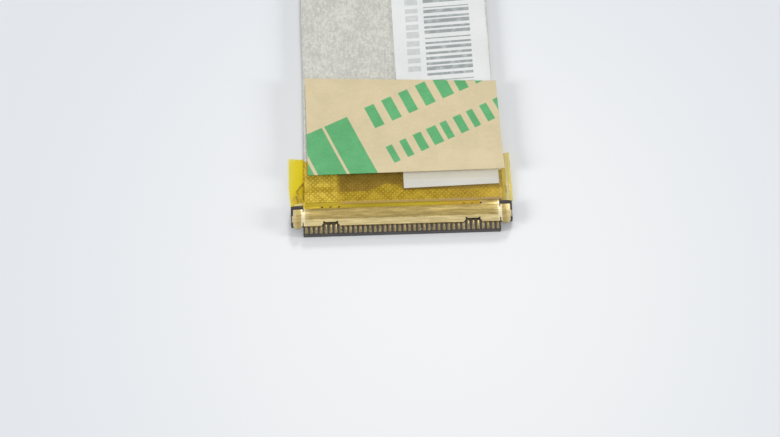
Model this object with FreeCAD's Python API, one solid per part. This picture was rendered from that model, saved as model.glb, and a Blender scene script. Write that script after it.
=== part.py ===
import FreeCAD, Part
import math
import os

from FreeCAD import Vector

os.makedirs("parts", exist_ok=True)

# All lengths are in millimetres. A plug is drawn with its nose on the line y = 0 and its
# cable leaving towards +Y. The whole cable is then moved so that the origin lies under the
# middle of the panel plug, the flat lead and its taper.

# Contact row and micro-coax wires
CONTACTS = 40
PITCH = 0.5
CONTACT_WIDTH = 0.28
CONTACT_THICKNESS = 0.1
JACKET_DIAMETER = 0.32
JACKET_SIDES = 8
BRAID_WIDTH = 0.26
CORE_WIDTH = 0.1
CORE_HEIGHT = 0.08

# Sheet stock
FILM = 0.05
CLOTH = 0.12
SHELL_METAL = 0.1
LABEL_STOCK = 0.08
FOAM_OVER_LABEL = 0.12
LINER_STOCK = 0.1

# Cloth sleeve round the flat lead
JACKET_CLEARANCE = 0.06
SLEEVE_SLACK = 0.3
SLEEVE_CORNER = 0.3
SEAM_X = -3.0
SEAM_GAP = 0.2

# Plug, front to back
ROW_END_MARGIN = 0.3
NOSE_WALL = 0.15
NOSE_CHAMFER = 0.08
CONTACT_BEND_AT = 1.4
CONTACT_BEND_LENGTH = 0.5
CONTACT_TAIL_LENGTH = 0.85
SHELL_FRONT_AT = 0.87
LIP_LENGTH = 0.53
LIP_RISE = 0.1
TONGUE_TOP = 0.75
HOUSING_DEPTH = 2.9
PLATE_END_AT = 2.75
FOOT_START_AT = 3.1
FOOT_END_AT = 3.5
CORE_START_AT = 2.1
BRAID_START_AT = 3.0
BAR_INSET = 0.05
BAR_END_MARGIN = 0.1
SLEEVE_START_AT = 3.55
JACKET_START_AT = 3.7

# Stamped features of the top shell
SHELL_SIDE_INSET = 0.05
NOTCH_FROM_SIDE = 2.8
NOTCH_WIDTH = 1.35
NOTCH_MOUTH_WIDTH = 1.9
NOTCH_DEPTH = 0.38
RELIEF_DIAMETER = 0.2
RELIEF_SIDES = 6
WINDOWS = 3
WINDOW_PITCH = 0.87
WINDOW_SIZE = 0.22

# Ears of the plug
EAR_GAP = 0.1
EAR_WIDTH = 0.97
EAR_START_AT = 0.57
EAR_END_AT = 2.7
WAIST_START_AT = 1.25
WAIST_END_AT = 2.4
TAB_START_AT = 1.3
TAB_END_AT = 2.0
TAB_REACH = 0.12
TAB_DROP = 0.4
TAB_CLEARANCE = 0.05
EAR_BLOCK_WIDTH = 1.25
EAR_BLOCK_START_AT = 1.1
EAR_BAR_START_AT = 2.8
EAR_BAR_END_AT = 3.1

# Stamped features of the bottom shell
BOTTOM_SHELL_START_AT = 0.9
SLOT_LENGTH = 1.6
SLOT_WIDTH = 0.5
SLOT_FROM_CENTRE = 5.0

# Film tapes
UPPER_TAPE_START_AT = 2.65
UPPER_TAPE_LEFT_END_AT = 8.25
UPPER_TAPE_RIGHT_END_AT = 6.67
UPPER_TAPE_OVERHANG = 0.1
UPPER_TAPE_INSET = 0.02
TAPE_STEP_FROM_SIDE = 2.5
TAPE_STEP_CLEARANCE = 0.2
LOWER_TAPE_START_AT = 3.35
LOWER_TAPE_END_AT = 8.8
WING_WIDTH = 1.45
WING_SLANT = 0.4
BOARD_TAPE_LENGTH = 3.4

# Label
LABEL_START_AT = 4.7
LABEL_LENGTH = 38.0
LABEL_WIDTH = 10.05
LABEL_FROM_EDGE = 0.24
LABEL_TURN = 0.9
LABEL_STEP_AT = 8.5
LABEL_STEP_LENGTH = 0.1

# Release liner over its foam pad, turned a little on the lead
LINER_FRONT_LEFT_AT = 6.45
LINER_FRONT_RIGHT_AT = 6.7
LINER_REAR_LEFT_AT = 17.8
LINER_REAR_RIGHT_AT = 16.9
LINER_LEFT_INSET = 0.45
LINER_RIGHT_OVERHANG = 0.15
PAD_INSET = 0.4

# Flat lead, taper and collars
LEAD_LENGTH = 56.5
TAPER_LENGTH = 13.0
BUNDLE_DIAMETER = 3.0
WRAP_SIDES = 12
WRAP_SECTIONS = 12
COLLAR_WALL = 0.2
COLLAR_LENGTH = 5.0
TAIL_COLLAR_LENGTH = 4.0
FAN_FLAT_LENGTH = 3.0
FAN_LENGTH = 12.0

# Hank of the round bundle: an oval of one turn and a half
OUTER_TURN_RADIUS = 12.1
INNER_TURN_RADIUS = 9.0
HANK_RUN = 30.0
RUN_END_ALONG_RUN = 4.0
TAIL_START_ALONG_RUN = 13.0
TIE_ALONG_RUN = 7.0
TIE_WIDTH = 4.0
TIE_WALL = 0.2
TIE_EDGE = 0.6

# Levels, worked out from the stack
AXIS_Z = FILM + CLOTH + JACKET_CLEARANCE + JACKET_DIAMETER / 2
SLEEVE_TOP = AXIS_Z + JACKET_DIAMETER / 2 + JACKET_CLEARANCE + CLOTH
SHELL_FLOOR = FILM + SHELL_METAL
TAIL_TOP = AXIS_Z - CORE_HEIGHT / 2
TAIL_FLOOR = TAIL_TOP - CONTACT_THICKNESS
PLATE_UNDERSIDE = TONGUE_TOP + LIP_RISE
PLATE_TOP = PLATE_UNDERSIDE + SHELL_METAL
FOOT_UNDERSIDE = SLEEVE_TOP - SHELL_METAL
LABEL_TOP = SLEEVE_TOP + FILM + LABEL_STOCK
PAD_TOP = LABEL_TOP + FOAM_OVER_LABEL
BUNDLE_Z = COLLAR_WALL + BUNDLE_DIAMETER / 2

# Widths, worked out from the contact row
ROW = (CONTACTS - 1) * PITCH
TONGUE_WIDTH = ROW + 2 * ROW_END_MARGIN
ROW_HALF = (ROW + JACKET_DIAMETER) / 2
SLEEVE_LEFT = -(ROW_HALF + JACKET_CLEARANCE + CLOTH)
SLEEVE_RIGHT = ROW_HALF + JACKET_CLEARANCE + CLOTH + SLEEVE_SLACK
SLEEVE_WIDTH = SLEEVE_RIGHT - SLEEVE_LEFT
SLEEVE_MIDDLE = (SLEEVE_LEFT + SLEEVE_RIGHT) / 2
SHELL_HALF = TONGUE_WIDTH / 2 - SHELL_SIDE_INSET
EAR_INNER = SHELL_HALF + EAR_GAP
EAR_OUTER = EAR_INNER + EAR_WIDTH
TAPE_HALF = TONGUE_WIDTH / 2 + WING_WIDTH

# Stations along the lead
LEAD_END = SLEEVE_START_AT + LEAD_LENGTH
TAPER_END = LEAD_END + TAPER_LENGTH
COLLAR_END = TAPER_END + COLLAR_LENGTH
CENTRE_Y = COLLAR_END / 2

# Route of the round bundle from the taper to the hank and from the hank to the board plug
NEAR_TURN_Y = TAPER_END + 27.0
FAR_TURN_Y = NEAR_TURN_Y + HANK_RUN
TAIL_START_Y = NEAR_TURN_Y + TAIL_START_ALONG_RUN
RUN_END_Y = NEAR_TURN_Y + RUN_END_ALONG_RUN
RUN_ROUTE = [
    (0.0, TAPER_END, BUNDLE_Z),
    (0.0, TAPER_END + 9.5, BUNDLE_Z),
    (OUTER_TURN_RADIUS, TAPER_END + 22.1, BUNDLE_Z),
    (OUTER_TURN_RADIUS, RUN_END_Y, BUNDLE_Z),
]
CROSSING_Z = BUNDLE_Z + 3.4
TAIL_ROUTE = [
    (INNER_TURN_RADIUS, TAIL_START_Y, BUNDLE_Z),
    (INNER_TURN_RADIUS, TAIL_START_Y + 7.0, BUNDLE_Z),
    (8.7, TAIL_START_Y + 19.0, CROSSING_Z),
    (5.6, TAIL_START_Y + 33.0, CROSSING_Z),
    (2.6, TAIL_START_Y + 43.5, BUNDLE_Z),
    (2.6, TAIL_START_Y + 52.0, BUNDLE_Z),
]
BOARD_X = TAIL_ROUTE[-1][0]
FAN_START_Y = TAIL_ROUTE[-1][1]
FAN_FLAT_Y = FAN_START_Y + FAN_LENGTH
BOARD_NOSE_Y = FAN_FLAT_Y + FAN_FLAT_LENGTH + JACKET_START_AT


def block(x0, x1, y0, y1, z0, z1):
    return Part.makeBox(x1 - x0, y1 - y0, z1 - z0, Vector(x0, y0, z0))


def side_profile(points, x0, x1):
    """A closed outline of (y, z) points, drawn out from x0 to x1."""
    outline = Part.makePolygon([Vector(x0, y, z) for y, z in points + points[:1]])
    return Part.Face(outline).extrude(Vector(x1 - x0, 0, 0))


def plan_profile(points, z0, z1):
    """A closed outline of (x, y) points, drawn up from z0 to z1."""
    outline = Part.makePolygon([Vector(x, y, z0) for x, y in points + points[:1]])
    return Part.Face(outline).extrude(Vector(0, 0, z1 - z0))


def flat_sided(sides, diameter):
    """Corners of an even polygon whose flats lie a diameter apart."""
    radius = diameter / 2 / math.cos(math.pi / sides)
    turns = [(k + 0.5) * 2 * math.pi / sides for k in range(sides)]
    return [(radius * math.cos(t), radius * math.sin(t)) for t in turns]


def row_positions():
    return [(k - (CONTACTS - 1) / 2) * PITCH for k in range(CONTACTS)]


def contact_outline():
    """Side view of one contact: a pad on the tongue, a bend down and a solder tail."""
    bend_end = CONTACT_BEND_AT + CONTACT_BEND_LENGTH
    tail_end = bend_end + CONTACT_TAIL_LENGTH
    pad_floor = TONGUE_TOP - CONTACT_THICKNESS
    return [
        (NOSE_WALL, pad_floor),
        (CONTACT_BEND_AT, pad_floor),
        (bend_end, TAIL_FLOOR),
        (tail_end, TAIL_FLOOR),
        (tail_end, TAIL_TOP),
        (bend_end + CONTACT_THICKNESS / 2, TAIL_TOP),
        (CONTACT_BEND_AT + CONTACT_THICKNESS / 2, TONGUE_TOP),
        (NOSE_WALL, TONGUE_TOP),
    ]


def plug_contacts():
    """The row of stamped contacts, one solid each."""
    half = CONTACT_WIDTH / 2
    return Part.Compound([side_profile(contact_outline(), x - half, x + half) for x in row_positions()])


def contact_slots():
    """What the contact row takes out of the housing, open to the top."""
    bend_end = CONTACT_BEND_AT + CONTACT_BEND_LENGTH
    pad_floor = TONGUE_TOP - CONTACT_THICKNESS
    outline = [
        (NOSE_WALL, pad_floor),
        (CONTACT_BEND_AT, pad_floor),
        (bend_end, TAIL_FLOOR),
        (bend_end + SHELL_METAL, TAIL_FLOOR),
        (bend_end + SHELL_METAL, PLATE_TOP),
        (NOSE_WALL, PLATE_TOP),
    ]
    half = CONTACT_WIDTH / 2
    return Part.Compound([side_profile(outline, x - half, x + half) for x in row_positions()])


def ear_block(side):
    """Moulded block under one ear of the shell, recessed for the ear's bent tab."""
    inner = side * TONGUE_WIDTH / 2
    outer = side * (TONGUE_WIDTH / 2 + EAR_BLOCK_WIDTH)
    x0, x1 = sorted((inner, outer))
    body = block(x0, x1, EAR_BLOCK_START_AT, EAR_BAR_END_AT, FILM, PLATE_UNDERSIDE)
    bar_outer = side * EAR_OUTER
    b0, b1 = sorted((inner, bar_outer))
    bar = block(b0, b1, EAR_BAR_START_AT, EAR_BAR_END_AT, PLATE_UNDERSIDE, PLATE_TOP)
    t0, t1 = sorted((side * (EAR_OUTER + TAB_REACH - SHELL_METAL), side * (abs(outer) + 1)))
    recess = block(
        t0,
        t1,
        TAB_START_AT - TAB_CLEARANCE,
        TAB_END_AT + TAB_CLEARANCE,
        PLATE_TOP - TAB_DROP - TAB_CLEARANCE,
        PLATE_TOP,
    )
    return body.fuse(bar).cut(recess)


def plug_housing():
    """Moulded tongue with its contact slots, solder well and ear blocks."""
    half = TONGUE_WIDTH / 2
    wall_end = CONTACT_BEND_AT + CONTACT_BEND_LENGTH
    plate_front = SHELL_FRONT_AT + LIP_LENGTH
    side_view = [
        (0, FILM),
        (BOTTOM_SHELL_START_AT, FILM),
        (BOTTOM_SHELL_START_AT, SHELL_FLOOR),
        (HOUSING_DEPTH, SHELL_FLOOR),
        (HOUSING_DEPTH, TAIL_FLOOR),
        (wall_end, TAIL_FLOOR),
        (wall_end, PLATE_UNDERSIDE),
        (plate_front, PLATE_UNDERSIDE),
        (SHELL_FRONT_AT, TONGUE_TOP),
        (NOSE_CHAMFER, TONGUE_TOP),
        (0, TONGUE_TOP - NOSE_CHAMFER),
    ]
    body = side_profile(side_view, -half, half)
    body = body.fuse([ear_block(-1), ear_block(1)]).removeSplitter()
    return body.cut(contact_slots())


def ear_outline(side):
    """Plan of one ear: a plate with a round front end, joined to the shell by its waist."""
    radius = EAR_WIDTH / 2
    centre = EAR_INNER + radius
    corners = [(EAR_OUTER, EAR_START_AT + radius), (EAR_OUTER, EAR_END_AT), (EAR_INNER, EAR_END_AT)]
    corners.append((EAR_INNER, EAR_START_AT + radius))
    points = [Vector(side * x, y, PLATE_UNDERSIDE) for x, y in corners]
    front = Vector(side * centre, EAR_START_AT, PLATE_UNDERSIDE)
    edges = [Part.makeLine(a, b) for a, b in zip(points, points[1:])]
    edges.append(Part.Arc(points[-1], front, points[0]).toShape())
    return Part.Face(Part.Wire(edges))


def ear(side):
    """One ear of the top shell with its waist and the tab bent down at its outer edge."""
    plate = ear_outline(side).extrude(Vector(0, 0, SHELL_METAL))
    w0, w1 = sorted((side * (SHELL_HALF - SHELL_METAL), side * (EAR_INNER + SHELL_METAL)))
    waist = block(w0, w1, WAIST_START_AT, WAIST_END_AT, PLATE_UNDERSIDE, PLATE_TOP)
    t0, t1 = sorted((side * (EAR_OUTER - SHELL_METAL), side * (EAR_OUTER + TAB_REACH)))
    tab_top = block(t0, t1, TAB_START_AT, TAB_END_AT, PLATE_UNDERSIDE, PLATE_TOP)
    tab_outer = side * (EAR_OUTER + TAB_REACH)
    d0, d1 = sorted((tab_outer - side * SHELL_METAL, tab_outer))
    tab_drop = block(d0, d1, TAB_START_AT, TAB_END_AT, PLATE_TOP - TAB_DROP, PLATE_TOP)
    return plate.fuse([waist, tab_top, tab_drop])


def shell_notch(side):
    """Trapezoid notch in the shell's front lip with a relief hole at each inner corner."""
    centre = side * (TONGUE_WIDTH / 2 - NOTCH_FROM_SIDE)
    back = SHELL_FRONT_AT + NOTCH_DEPTH
    mouth = NOTCH_MOUTH_WIDTH / 2
    half = NOTCH_WIDTH / 2
    outline = [
        (centre - mouth, SHELL_FRONT_AT),
        (centre - mouth, SHELL_FRONT_AT - SHELL_METAL),
        (centre + mouth, SHELL_FRONT_AT - SHELL_METAL),
        (centre + mouth, SHELL_FRONT_AT),
        (centre + half, back),
        (centre - half, back),
    ]
    cutter = plan_profile(outline, TONGUE_TOP, PLATE_TOP)
    hole = flat_sided(RELIEF_SIDES, RELIEF_DIAMETER)
    reliefs = [
        plan_profile([(centre + k * half + dx, back + dy) for dx, dy in hole], TONGUE_TOP, PLATE_TOP)
        for k in (-1, 1)
    ]
    return cutter.fuse(reliefs)


def shell_windows():
    """Small inspection windows in the shell's step, a few at each end of the row."""
    middle = (PLATE_END_AT + FOOT_START_AT) / 2
    half = WINDOW_SIZE / 2
    first = TONGUE_WIDTH / 2 - NOTCH_FROM_SIDE - (WINDOWS - 1) / 2 * WINDOW_PITCH
    centres = [side * (first + k * WINDOW_PITCH) for side in (-1, 1) for k in range(WINDOWS)]
    return Part.Compound(
        [block(x - half, x + half, middle - half, middle + half, TAIL_TOP, PLATE_TOP) for x in centres]
    )


def plug_top_shell():
    """Stamped top shell: sloping lip, plate, step down and a foot on the upper ground bar."""
    plate_front = SHELL_FRONT_AT + LIP_LENGTH
    side_view = [
        (SHELL_FRONT_AT, TONGUE_TOP),
        (plate_front, PLATE_UNDERSIDE),
        (PLATE_END_AT, PLATE_UNDERSIDE),
        (FOOT_START_AT, FOOT_UNDERSIDE),
        (FOOT_END_AT, FOOT_UNDERSIDE),
        (FOOT_END_AT, SLEEVE_TOP),
        (FOOT_START_AT, SLEEVE_TOP),
        (PLATE_END_AT, PLATE_TOP),
        (plate_front, PLATE_TOP),
        (SHELL_FRONT_AT, TONGUE_TOP + SHELL_METAL),
    ]
    shell = side_profile(side_view, -SHELL_HALF, SHELL_HALF)
    shell = shell.fuse([ear(-1), ear(1)]).removeSplitter()
    return shell.cut(Part.Compound([shell_notch(-1), shell_notch(1), shell_windows()]))


def plug_bottom_shell():
    """Flat stamped plate under the housing with two long slots."""
    plate = block(-SHELL_HALF, SHELL_HALF, BOTTOM_SHELL_START_AT, FOOT_END_AT, FILM, SHELL_FLOOR)
    slot_middle = (BOTTOM_SHELL_START_AT + HOUSING_DEPTH) / 2
    slots = [
        block(
            x - SLOT_LENGTH / 2,
            x + SLOT_LENGTH / 2,
            slot_middle - SLOT_WIDTH / 2,
            slot_middle + SLOT_WIDTH / 2,
            0,
            SHELL_FLOOR,
        )
        for x in (-SLOT_FROM_CENTRE, SLOT_FROM_CENTRE)
    ]
    return plate.cut(Part.Compound(slots))


def ground_bar(z0, z1):
    """Strip soldered across all the braids."""
    half = ROW / 2 + ROW_END_MARGIN - BAR_END_MARGIN
    return block(-half, half, BRAID_START_AT + BAR_INSET, FOOT_END_AT, z0, z1)


def ground_bar_top():
    return ground_bar(AXIS_Z + BRAID_WIDTH / 2, FOOT_UNDERSIDE)


def ground_bar_bottom():
    return ground_bar(SHELL_FLOOR, AXIS_Z - BRAID_WIDTH / 2)


def coax_cores():
    """Centre wires, pressed flat where they are soldered to the contact tails."""
    half = CORE_WIDTH / 2
    top = TAIL_TOP + CORE_HEIGHT
    return Part.Compound(
        [block(x - half, x + half, CORE_START_AT, BRAID_START_AT, TAIL_TOP, top) for x in row_positions()]
    )


def coax_braids():
    """Braids, squared by the two ground bars that clamp them."""
    half = BRAID_WIDTH / 2
    return Part.Compound(
        [
            block(x - half, x + half, BRAID_START_AT, JACKET_START_AT, AXIS_Z - half, AXIS_Z + half)
            for x in row_positions()
        ]
    )


def coax_jackets():
    """Jackets of the wires, side by side along the flat lead, drawn with a few flats."""
    section = flat_sided(JACKET_SIDES, JACKET_DIAMETER)
    along = Vector(0, LEAD_END - JACKET_START_AT, 0)
    jackets = []
    for x in row_positions():
        corners = [Vector(x + dx, JACKET_START_AT, AXIS_Z + dz) for dx, dz in section + section[:1]]
        jackets.append(Part.Face(Part.makePolygon(corners)).extrude(along))
    return Part.Compound(jackets)


def rounded_section(y, centre_x, bottom, width, height, corner):
    """Rectangle with round corners in the plane across the lead, as one wire."""
    middle = bottom + height / 2
    half_width = width / 2
    half_height = height / 2
    flat_x = half_width - corner
    flat_z = half_height - corner
    diagonal = corner * math.sqrt(0.5)
    edges = []
    for sx, sz, turn in ((1, 1, 0), (-1, 1, 1), (-1, -1, 0), (1, -1, 1)):
        on_side = (sx * half_width, sz * flat_z)
        on_flat = (sx * flat_x, sz * half_height)
        bulge = (sx * (flat_x + diagonal), sz * (flat_z + diagonal))
        first, last = (on_flat, on_side) if turn else (on_side, on_flat)
        arc = [Vector(centre_x + x, y, middle + z) for x, z in (first, bulge, last)]
        if edges:
            edges.append(Part.makeLine(edges[-1].Vertexes[-1].Point, arc[0]))
        edges.append(Part.Arc(*arc).toShape())
    edges.append(Part.makeLine(edges[-1].Vertexes[-1].Point, edges[0].Vertexes[0].Point))
    return Part.Wire(edges)


def shield_wrap():
    """Conductive cloth folded round the row of wires, its edges meeting in a seam below."""
    height = SLEEVE_TOP - FILM
    along = Vector(0, LEAD_LENGTH, 0)
    start = SLEEVE_START_AT
    outer = rounded_section(start, SLEEVE_MIDDLE, FILM, SLEEVE_WIDTH, height, SLEEVE_CORNER)
    inner = rounded_section(
        start,
        SLEEVE_MIDDLE,
        FILM + CLOTH,
        SLEEVE_WIDTH - 2 * CLOTH,
        height - 2 * CLOTH,
        SLEEVE_CORNER - CLOTH,
    )
    sleeve = Part.Face(outer).extrude(along).cut(Part.Face(inner).extrude(along))
    seam = block(SEAM_X - SEAM_GAP / 2, SEAM_X + SEAM_GAP / 2, start, LEAD_END, 0, FILM + CLOTH)
    return sleeve.cut(seam)


def upper_film_tape():
    """Film over the shell's step and the front of the sleeve, cut back at its right front."""
    left = -(SHELL_HALF - UPPER_TAPE_INSET)
    right = SLEEVE_RIGHT + UPPER_TAPE_OVERHANG
    step_x = right - TAPE_STEP_FROM_SIDE
    step_y = EAR_BAR_END_AT + TAPE_STEP_CLEARANCE
    rear = max(UPPER_TAPE_LEFT_END_AT, UPPER_TAPE_RIGHT_END_AT)
    layer = stepped_film(UPPER_TAPE_START_AT, rear, left, right)
    plan = [
        (left, UPPER_TAPE_START_AT),
        (step_x, UPPER_TAPE_START_AT),
        (step_x, step_y),
        (right, step_y),
        (right, UPPER_TAPE_RIGHT_END_AT),
        (left, UPPER_TAPE_LEFT_END_AT),
    ]
    return layer.common(plan_profile(plan, 0, PLATE_TOP + FILM))


def stepped_film(start, end, x0, x1):
    """Film that lies on the shell's plate, follows its step and goes on along the lead."""
    side_view = [
        (start, PLATE_TOP),
        (PLATE_END_AT, PLATE_TOP),
        (FOOT_START_AT, SLEEVE_TOP),
        (end, SLEEVE_TOP),
        (end, SLEEVE_TOP + FILM),
        (FOOT_START_AT, SLEEVE_TOP + FILM),
        (PLATE_END_AT, PLATE_TOP + FILM),
        (start, PLATE_TOP + FILM),
    ]
    return side_profile(side_view, x0, x1)


def lower_film_tape():
    """Wider film under the plug's rear, its wings showing on both sides."""
    front = TAPE_HALF - WING_SLANT
    plan = [
        (-front, LOWER_TAPE_START_AT),
        (TAPE_HALF, LOWER_TAPE_START_AT),
        (TAPE_HALF, LOWER_TAPE_END_AT),
        (-TAPE_HALF, LOWER_TAPE_END_AT),
    ]
    return plan_profile(plan, 0, FILM)


def inspection_label():
    """Paper label, set a little askew, stepping down behind the film tape."""
    right = SLEEVE_RIGHT - LABEL_FROM_EDGE
    left = right - LABEL_WIDTH
    end = LABEL_START_AT + LABEL_LENGTH
    step_end = LABEL_STEP_AT + LABEL_STEP_LENGTH
    low = SLEEVE_TOP + LABEL_STOCK
    side_view = [
        (0, SLEEVE_TOP + FILM),
        (LABEL_STEP_AT, SLEEVE_TOP + FILM),
        (step_end, SLEEVE_TOP),
        (end + LABEL_WIDTH, SLEEVE_TOP),
        (end + LABEL_WIDTH, low),
        (step_end, low),
        (LABEL_STEP_AT, LABEL_TOP),
        (0, LABEL_TOP),
    ]
    sheet = side_profile(side_view, left - LABEL_WIDTH, right + LABEL_WIDTH)
    outline = plan_profile(
        [(left, LABEL_START_AT), (right, LABEL_START_AT), (right, end), (left, end)], 0, LABEL_TOP
    )
    outline.rotate(Vector(left, LABEL_START_AT, 0), Vector(0, 0, 1), LABEL_TURN)
    return sheet.common(outline)


def liner_plan(inset):
    """Corners of the release liner, drawn in by an inset for the pad under it."""
    left = SLEEVE_LEFT + LINER_LEFT_INSET + inset
    right = SLEEVE_RIGHT + LINER_RIGHT_OVERHANG - inset
    return [
        (left, LINER_FRONT_LEFT_AT + inset),
        (right, LINER_FRONT_RIGHT_AT + inset),
        (right, LINER_REAR_RIGHT_AT - inset),
        (left, LINER_REAR_LEFT_AT - inset),
    ]


def adhesive_pad():
    """Soft foam tape under the liner, moulded over the label and the film tape."""
    foam = plan_profile(liner_plan(PAD_INSET), SLEEVE_TOP, PAD_TOP)
    return foam.cut(inspection_label()).cut(upper_film_tape())


def release_liner():
    return plan_profile(liner_plan(0), PAD_TOP, PAD_TOP + LINER_STOCK)


def wrap_section(y, centre_x, bottom, width, height, corner):
    """Section of wrapped wires: flat or round, three points to each corner."""
    middle = bottom + height / 2
    flat_x = width / 2 - corner
    flat_z = height / 2 - corner
    points = []
    for k in range(WRAP_SIDES):
        turn = (k + 0.5) * 2 * math.pi / WRAP_SIDES
        across = math.copysign(flat_x, math.cos(turn)) + corner * math.cos(turn)
        up = math.copysign(flat_z, math.sin(turn)) + corner * math.sin(turn)
        points.append(Vector(centre_x + across, y, middle + up))
    return Part.makePolygon(points + points[:1])


def round_section(x, y, diameter):
    """Section of the round bundle or of a tape on it, at the bundle's level."""
    return wrap_section(y, x, BUNDLE_Z - diameter / 2, diameter, diameter, diameter / 2)


def gathered_wrap(flat_y, round_y, flat_x, round_x):
    """Cloth that gathers the flat row of wires into the round bundle, wires and all."""
    sections = []
    flat_height = SLEEVE_TOP - FILM
    for k in range(WRAP_SECTIONS):
        share = k / (WRAP_SECTIONS - 1)
        ease = share * share * (3 - 2 * share)
        y = flat_y + share * (round_y - flat_y)
        x = flat_x + ease * (round_x - flat_x)
        width = SLEEVE_WIDTH + ease * (BUNDLE_DIAMETER - SLEEVE_WIDTH)
        height = flat_height + ease * (BUNDLE_DIAMETER - flat_height)
        bottom = FILM + ease * (COLLAR_WALL - FILM)
        corner = SLEEVE_CORNER + ease * (BUNDLE_DIAMETER / 2 - SLEEVE_CORNER)
        sections.append(wrap_section(y, x, bottom, width, height, corner))
    return Part.makeLoft(sections, True, True)


def taper_wrap():
    return gathered_wrap(LEAD_END, TAPER_END, SLEEVE_MIDDLE, 0)


def ring_tape(x, y, length, tube):
    """Tape wound tight round the bundle."""
    outer = round_section(x, y, BUNDLE_DIAMETER + 2 * COLLAR_WALL)
    return Part.Face(outer).extrude(Vector(0, length, 0)).cut(tube)


def collar_tape():
    return ring_tape(0, TAPER_END, COLLAR_LENGTH, bundle_run())


def tail_collar():
    return ring_tape(BOARD_X, FAN_START_Y - TAIL_COLLAR_LENGTH, TAIL_COLLAR_LENGTH, bundle_tail())


def tangent_path(route, name):
    """Straight runs joined by tangent arcs, each as large as its two runs allow."""
    points = [Vector(*p) for p in route]
    share = 0.45
    edges = []
    start = points[0]
    radii = []
    for before, corner, after in zip(points, points[1:], points[2:]):
        back = before - corner
        ahead = after - corner
        turn = math.pi - back.getAngle(ahead)
        reach = share * min(back.Length, ahead.Length)
        radii.append(reach / math.tan(turn / 2))
        back.normalize()
        ahead.normalize()
        first = corner + back * reach
        last = corner + ahead * reach
        inward = (back + ahead).normalize()
        sagitta = radii[-1] * (1 / math.cos(turn / 2) - 1)
        edges.append(Part.makeLine(start, first))
        edges.append(Part.Arc(first, corner + inward * sagitta, last).toShape())
        start = last
    edges.append(Part.makeLine(start, points[-1]))
    print(name, "bend radii", [round(r, 1) for r in radii])
    return Part.Wire(edges)


def bundle_tube(route, name):
    """Round bundle along a route, its volume set against section times length."""
    path = tangent_path(route, name)
    section = round_section(route[0][0], route[0][1], BUNDLE_DIAMETER)
    tube = path.makePipeShell([section], True, False)
    expected = Part.Face(section).Area * path.Length
    print(name, "length", round(path.Length, 1), "volume ratio", round(tube.Volume / expected, 4))
    return tube


def bundle_run():
    return bundle_tube(RUN_ROUTE, "bundle_run")


def bundle_tail():
    return bundle_tube(TAIL_ROUTE, "bundle_tail")


def half_turn(start_x, y, bulge):
    """Half circle from one side of the hank to the other."""
    points = [Vector(start_x, y, 0), Vector(0, y + bulge, 0), Vector(-start_x, y, 0)]
    return Part.Arc(*points).toShape()


def closed_outline(parts):
    """Wire through arcs and points in order, with straight lines between them."""
    edges = []
    last = None
    first = None
    for part in parts:
        is_point = isinstance(part, Vector)
        ends = (part, part) if is_point else (part.Vertexes[0].Point, part.Vertexes[-1].Point)
        if last is None:
            first = ends[0]
        elif (last - ends[0]).Length > 1e-6:
            edges.append(Part.makeLine(last, ends[0]))
        if not is_point:
            edges.append(part)
        last = ends[1]
    edges.append(Part.makeLine(last, first))
    return Part.Wire(edges)


def bundle_hank():
    """Closed solid of the hank's outer shape: two runs right, one left, a turn at each end."""
    half = BUNDLE_DIAMETER / 2
    outer_right = OUTER_TURN_RADIUS + half
    inner_right = INNER_TURN_RADIUS - half
    between = OUTER_TURN_RADIUS - half
    near_outer = INNER_TURN_RADIUS + half
    outer = closed_outline(
        [
            Vector(outer_right, RUN_END_Y, 0),
            half_turn(outer_right, FAR_TURN_Y, outer_right),
            half_turn(-near_outer, NEAR_TURN_Y, -near_outer),
            Vector(near_outer, RUN_END_Y, 0),
        ]
    )
    inner = closed_outline(
        [
            Vector(inner_right, TAIL_START_Y, 0),
            Vector(between, TAIL_START_Y, 0),
            half_turn(between, FAR_TURN_Y, between),
            half_turn(-inner_right, NEAR_TURN_Y, -inner_right),
        ]
    )
    upward = Vector(0, 0, BUNDLE_DIAMETER)
    solid = Part.Face(outer).extrude(upward).cut(Part.Face(inner).extrude(upward))
    solid.translate(Vector(0, 0, COLLAR_WALL))
    return solid


def hank_tie():
    """Band round the two runs that lie side by side."""
    half = BUNDLE_DIAMETER / 2
    left = INNER_TURN_RADIUS - half
    right = OUTER_TURN_RADIUS + half
    start = NEAR_TURN_Y + TIE_ALONG_RUN - TIE_WIDTH / 2
    band = rounded_section(
        start,
        (left + right) / 2,
        COLLAR_WALL - TIE_WALL,
        right - left + 2 * TIE_WALL,
        BUNDLE_DIAMETER + 2 * TIE_WALL,
        TIE_EDGE,
    )
    solid = Part.Face(band).extrude(Vector(0, TIE_WIDTH, 0))
    return solid.cut(bundle_hank())


def fan_wrap():
    """Cloth that spreads the bundle out flat again, with a level end for the board plug."""
    fan = gathered_wrap(FAN_FLAT_Y, FAN_START_Y, BOARD_X, BOARD_X)
    height = SLEEVE_TOP - FILM
    flat = wrap_section(FAN_FLAT_Y, BOARD_X, FILM, SLEEVE_WIDTH, height, SLEEVE_CORNER)
    return fan.fuse(Part.Face(flat).extrude(Vector(0, FAN_FLAT_LENGTH, 0)))


def board_film_tape():
    """Straight film over the board plug's step."""
    half = SHELL_HALF - UPPER_TAPE_INSET
    return stepped_film(UPPER_TAPE_START_AT, UPPER_TAPE_START_AT + BOARD_TAPE_LENGTH, -half, half)


def on_board(shape):
    """A plug's part turned round and carried to the far end of the cable."""
    shape.rotate(Vector(0, 0, 0), Vector(0, 0, 1), 180)
    shape.translate(Vector(BOARD_X, BOARD_NOSE_Y, 0))
    return shape


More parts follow.
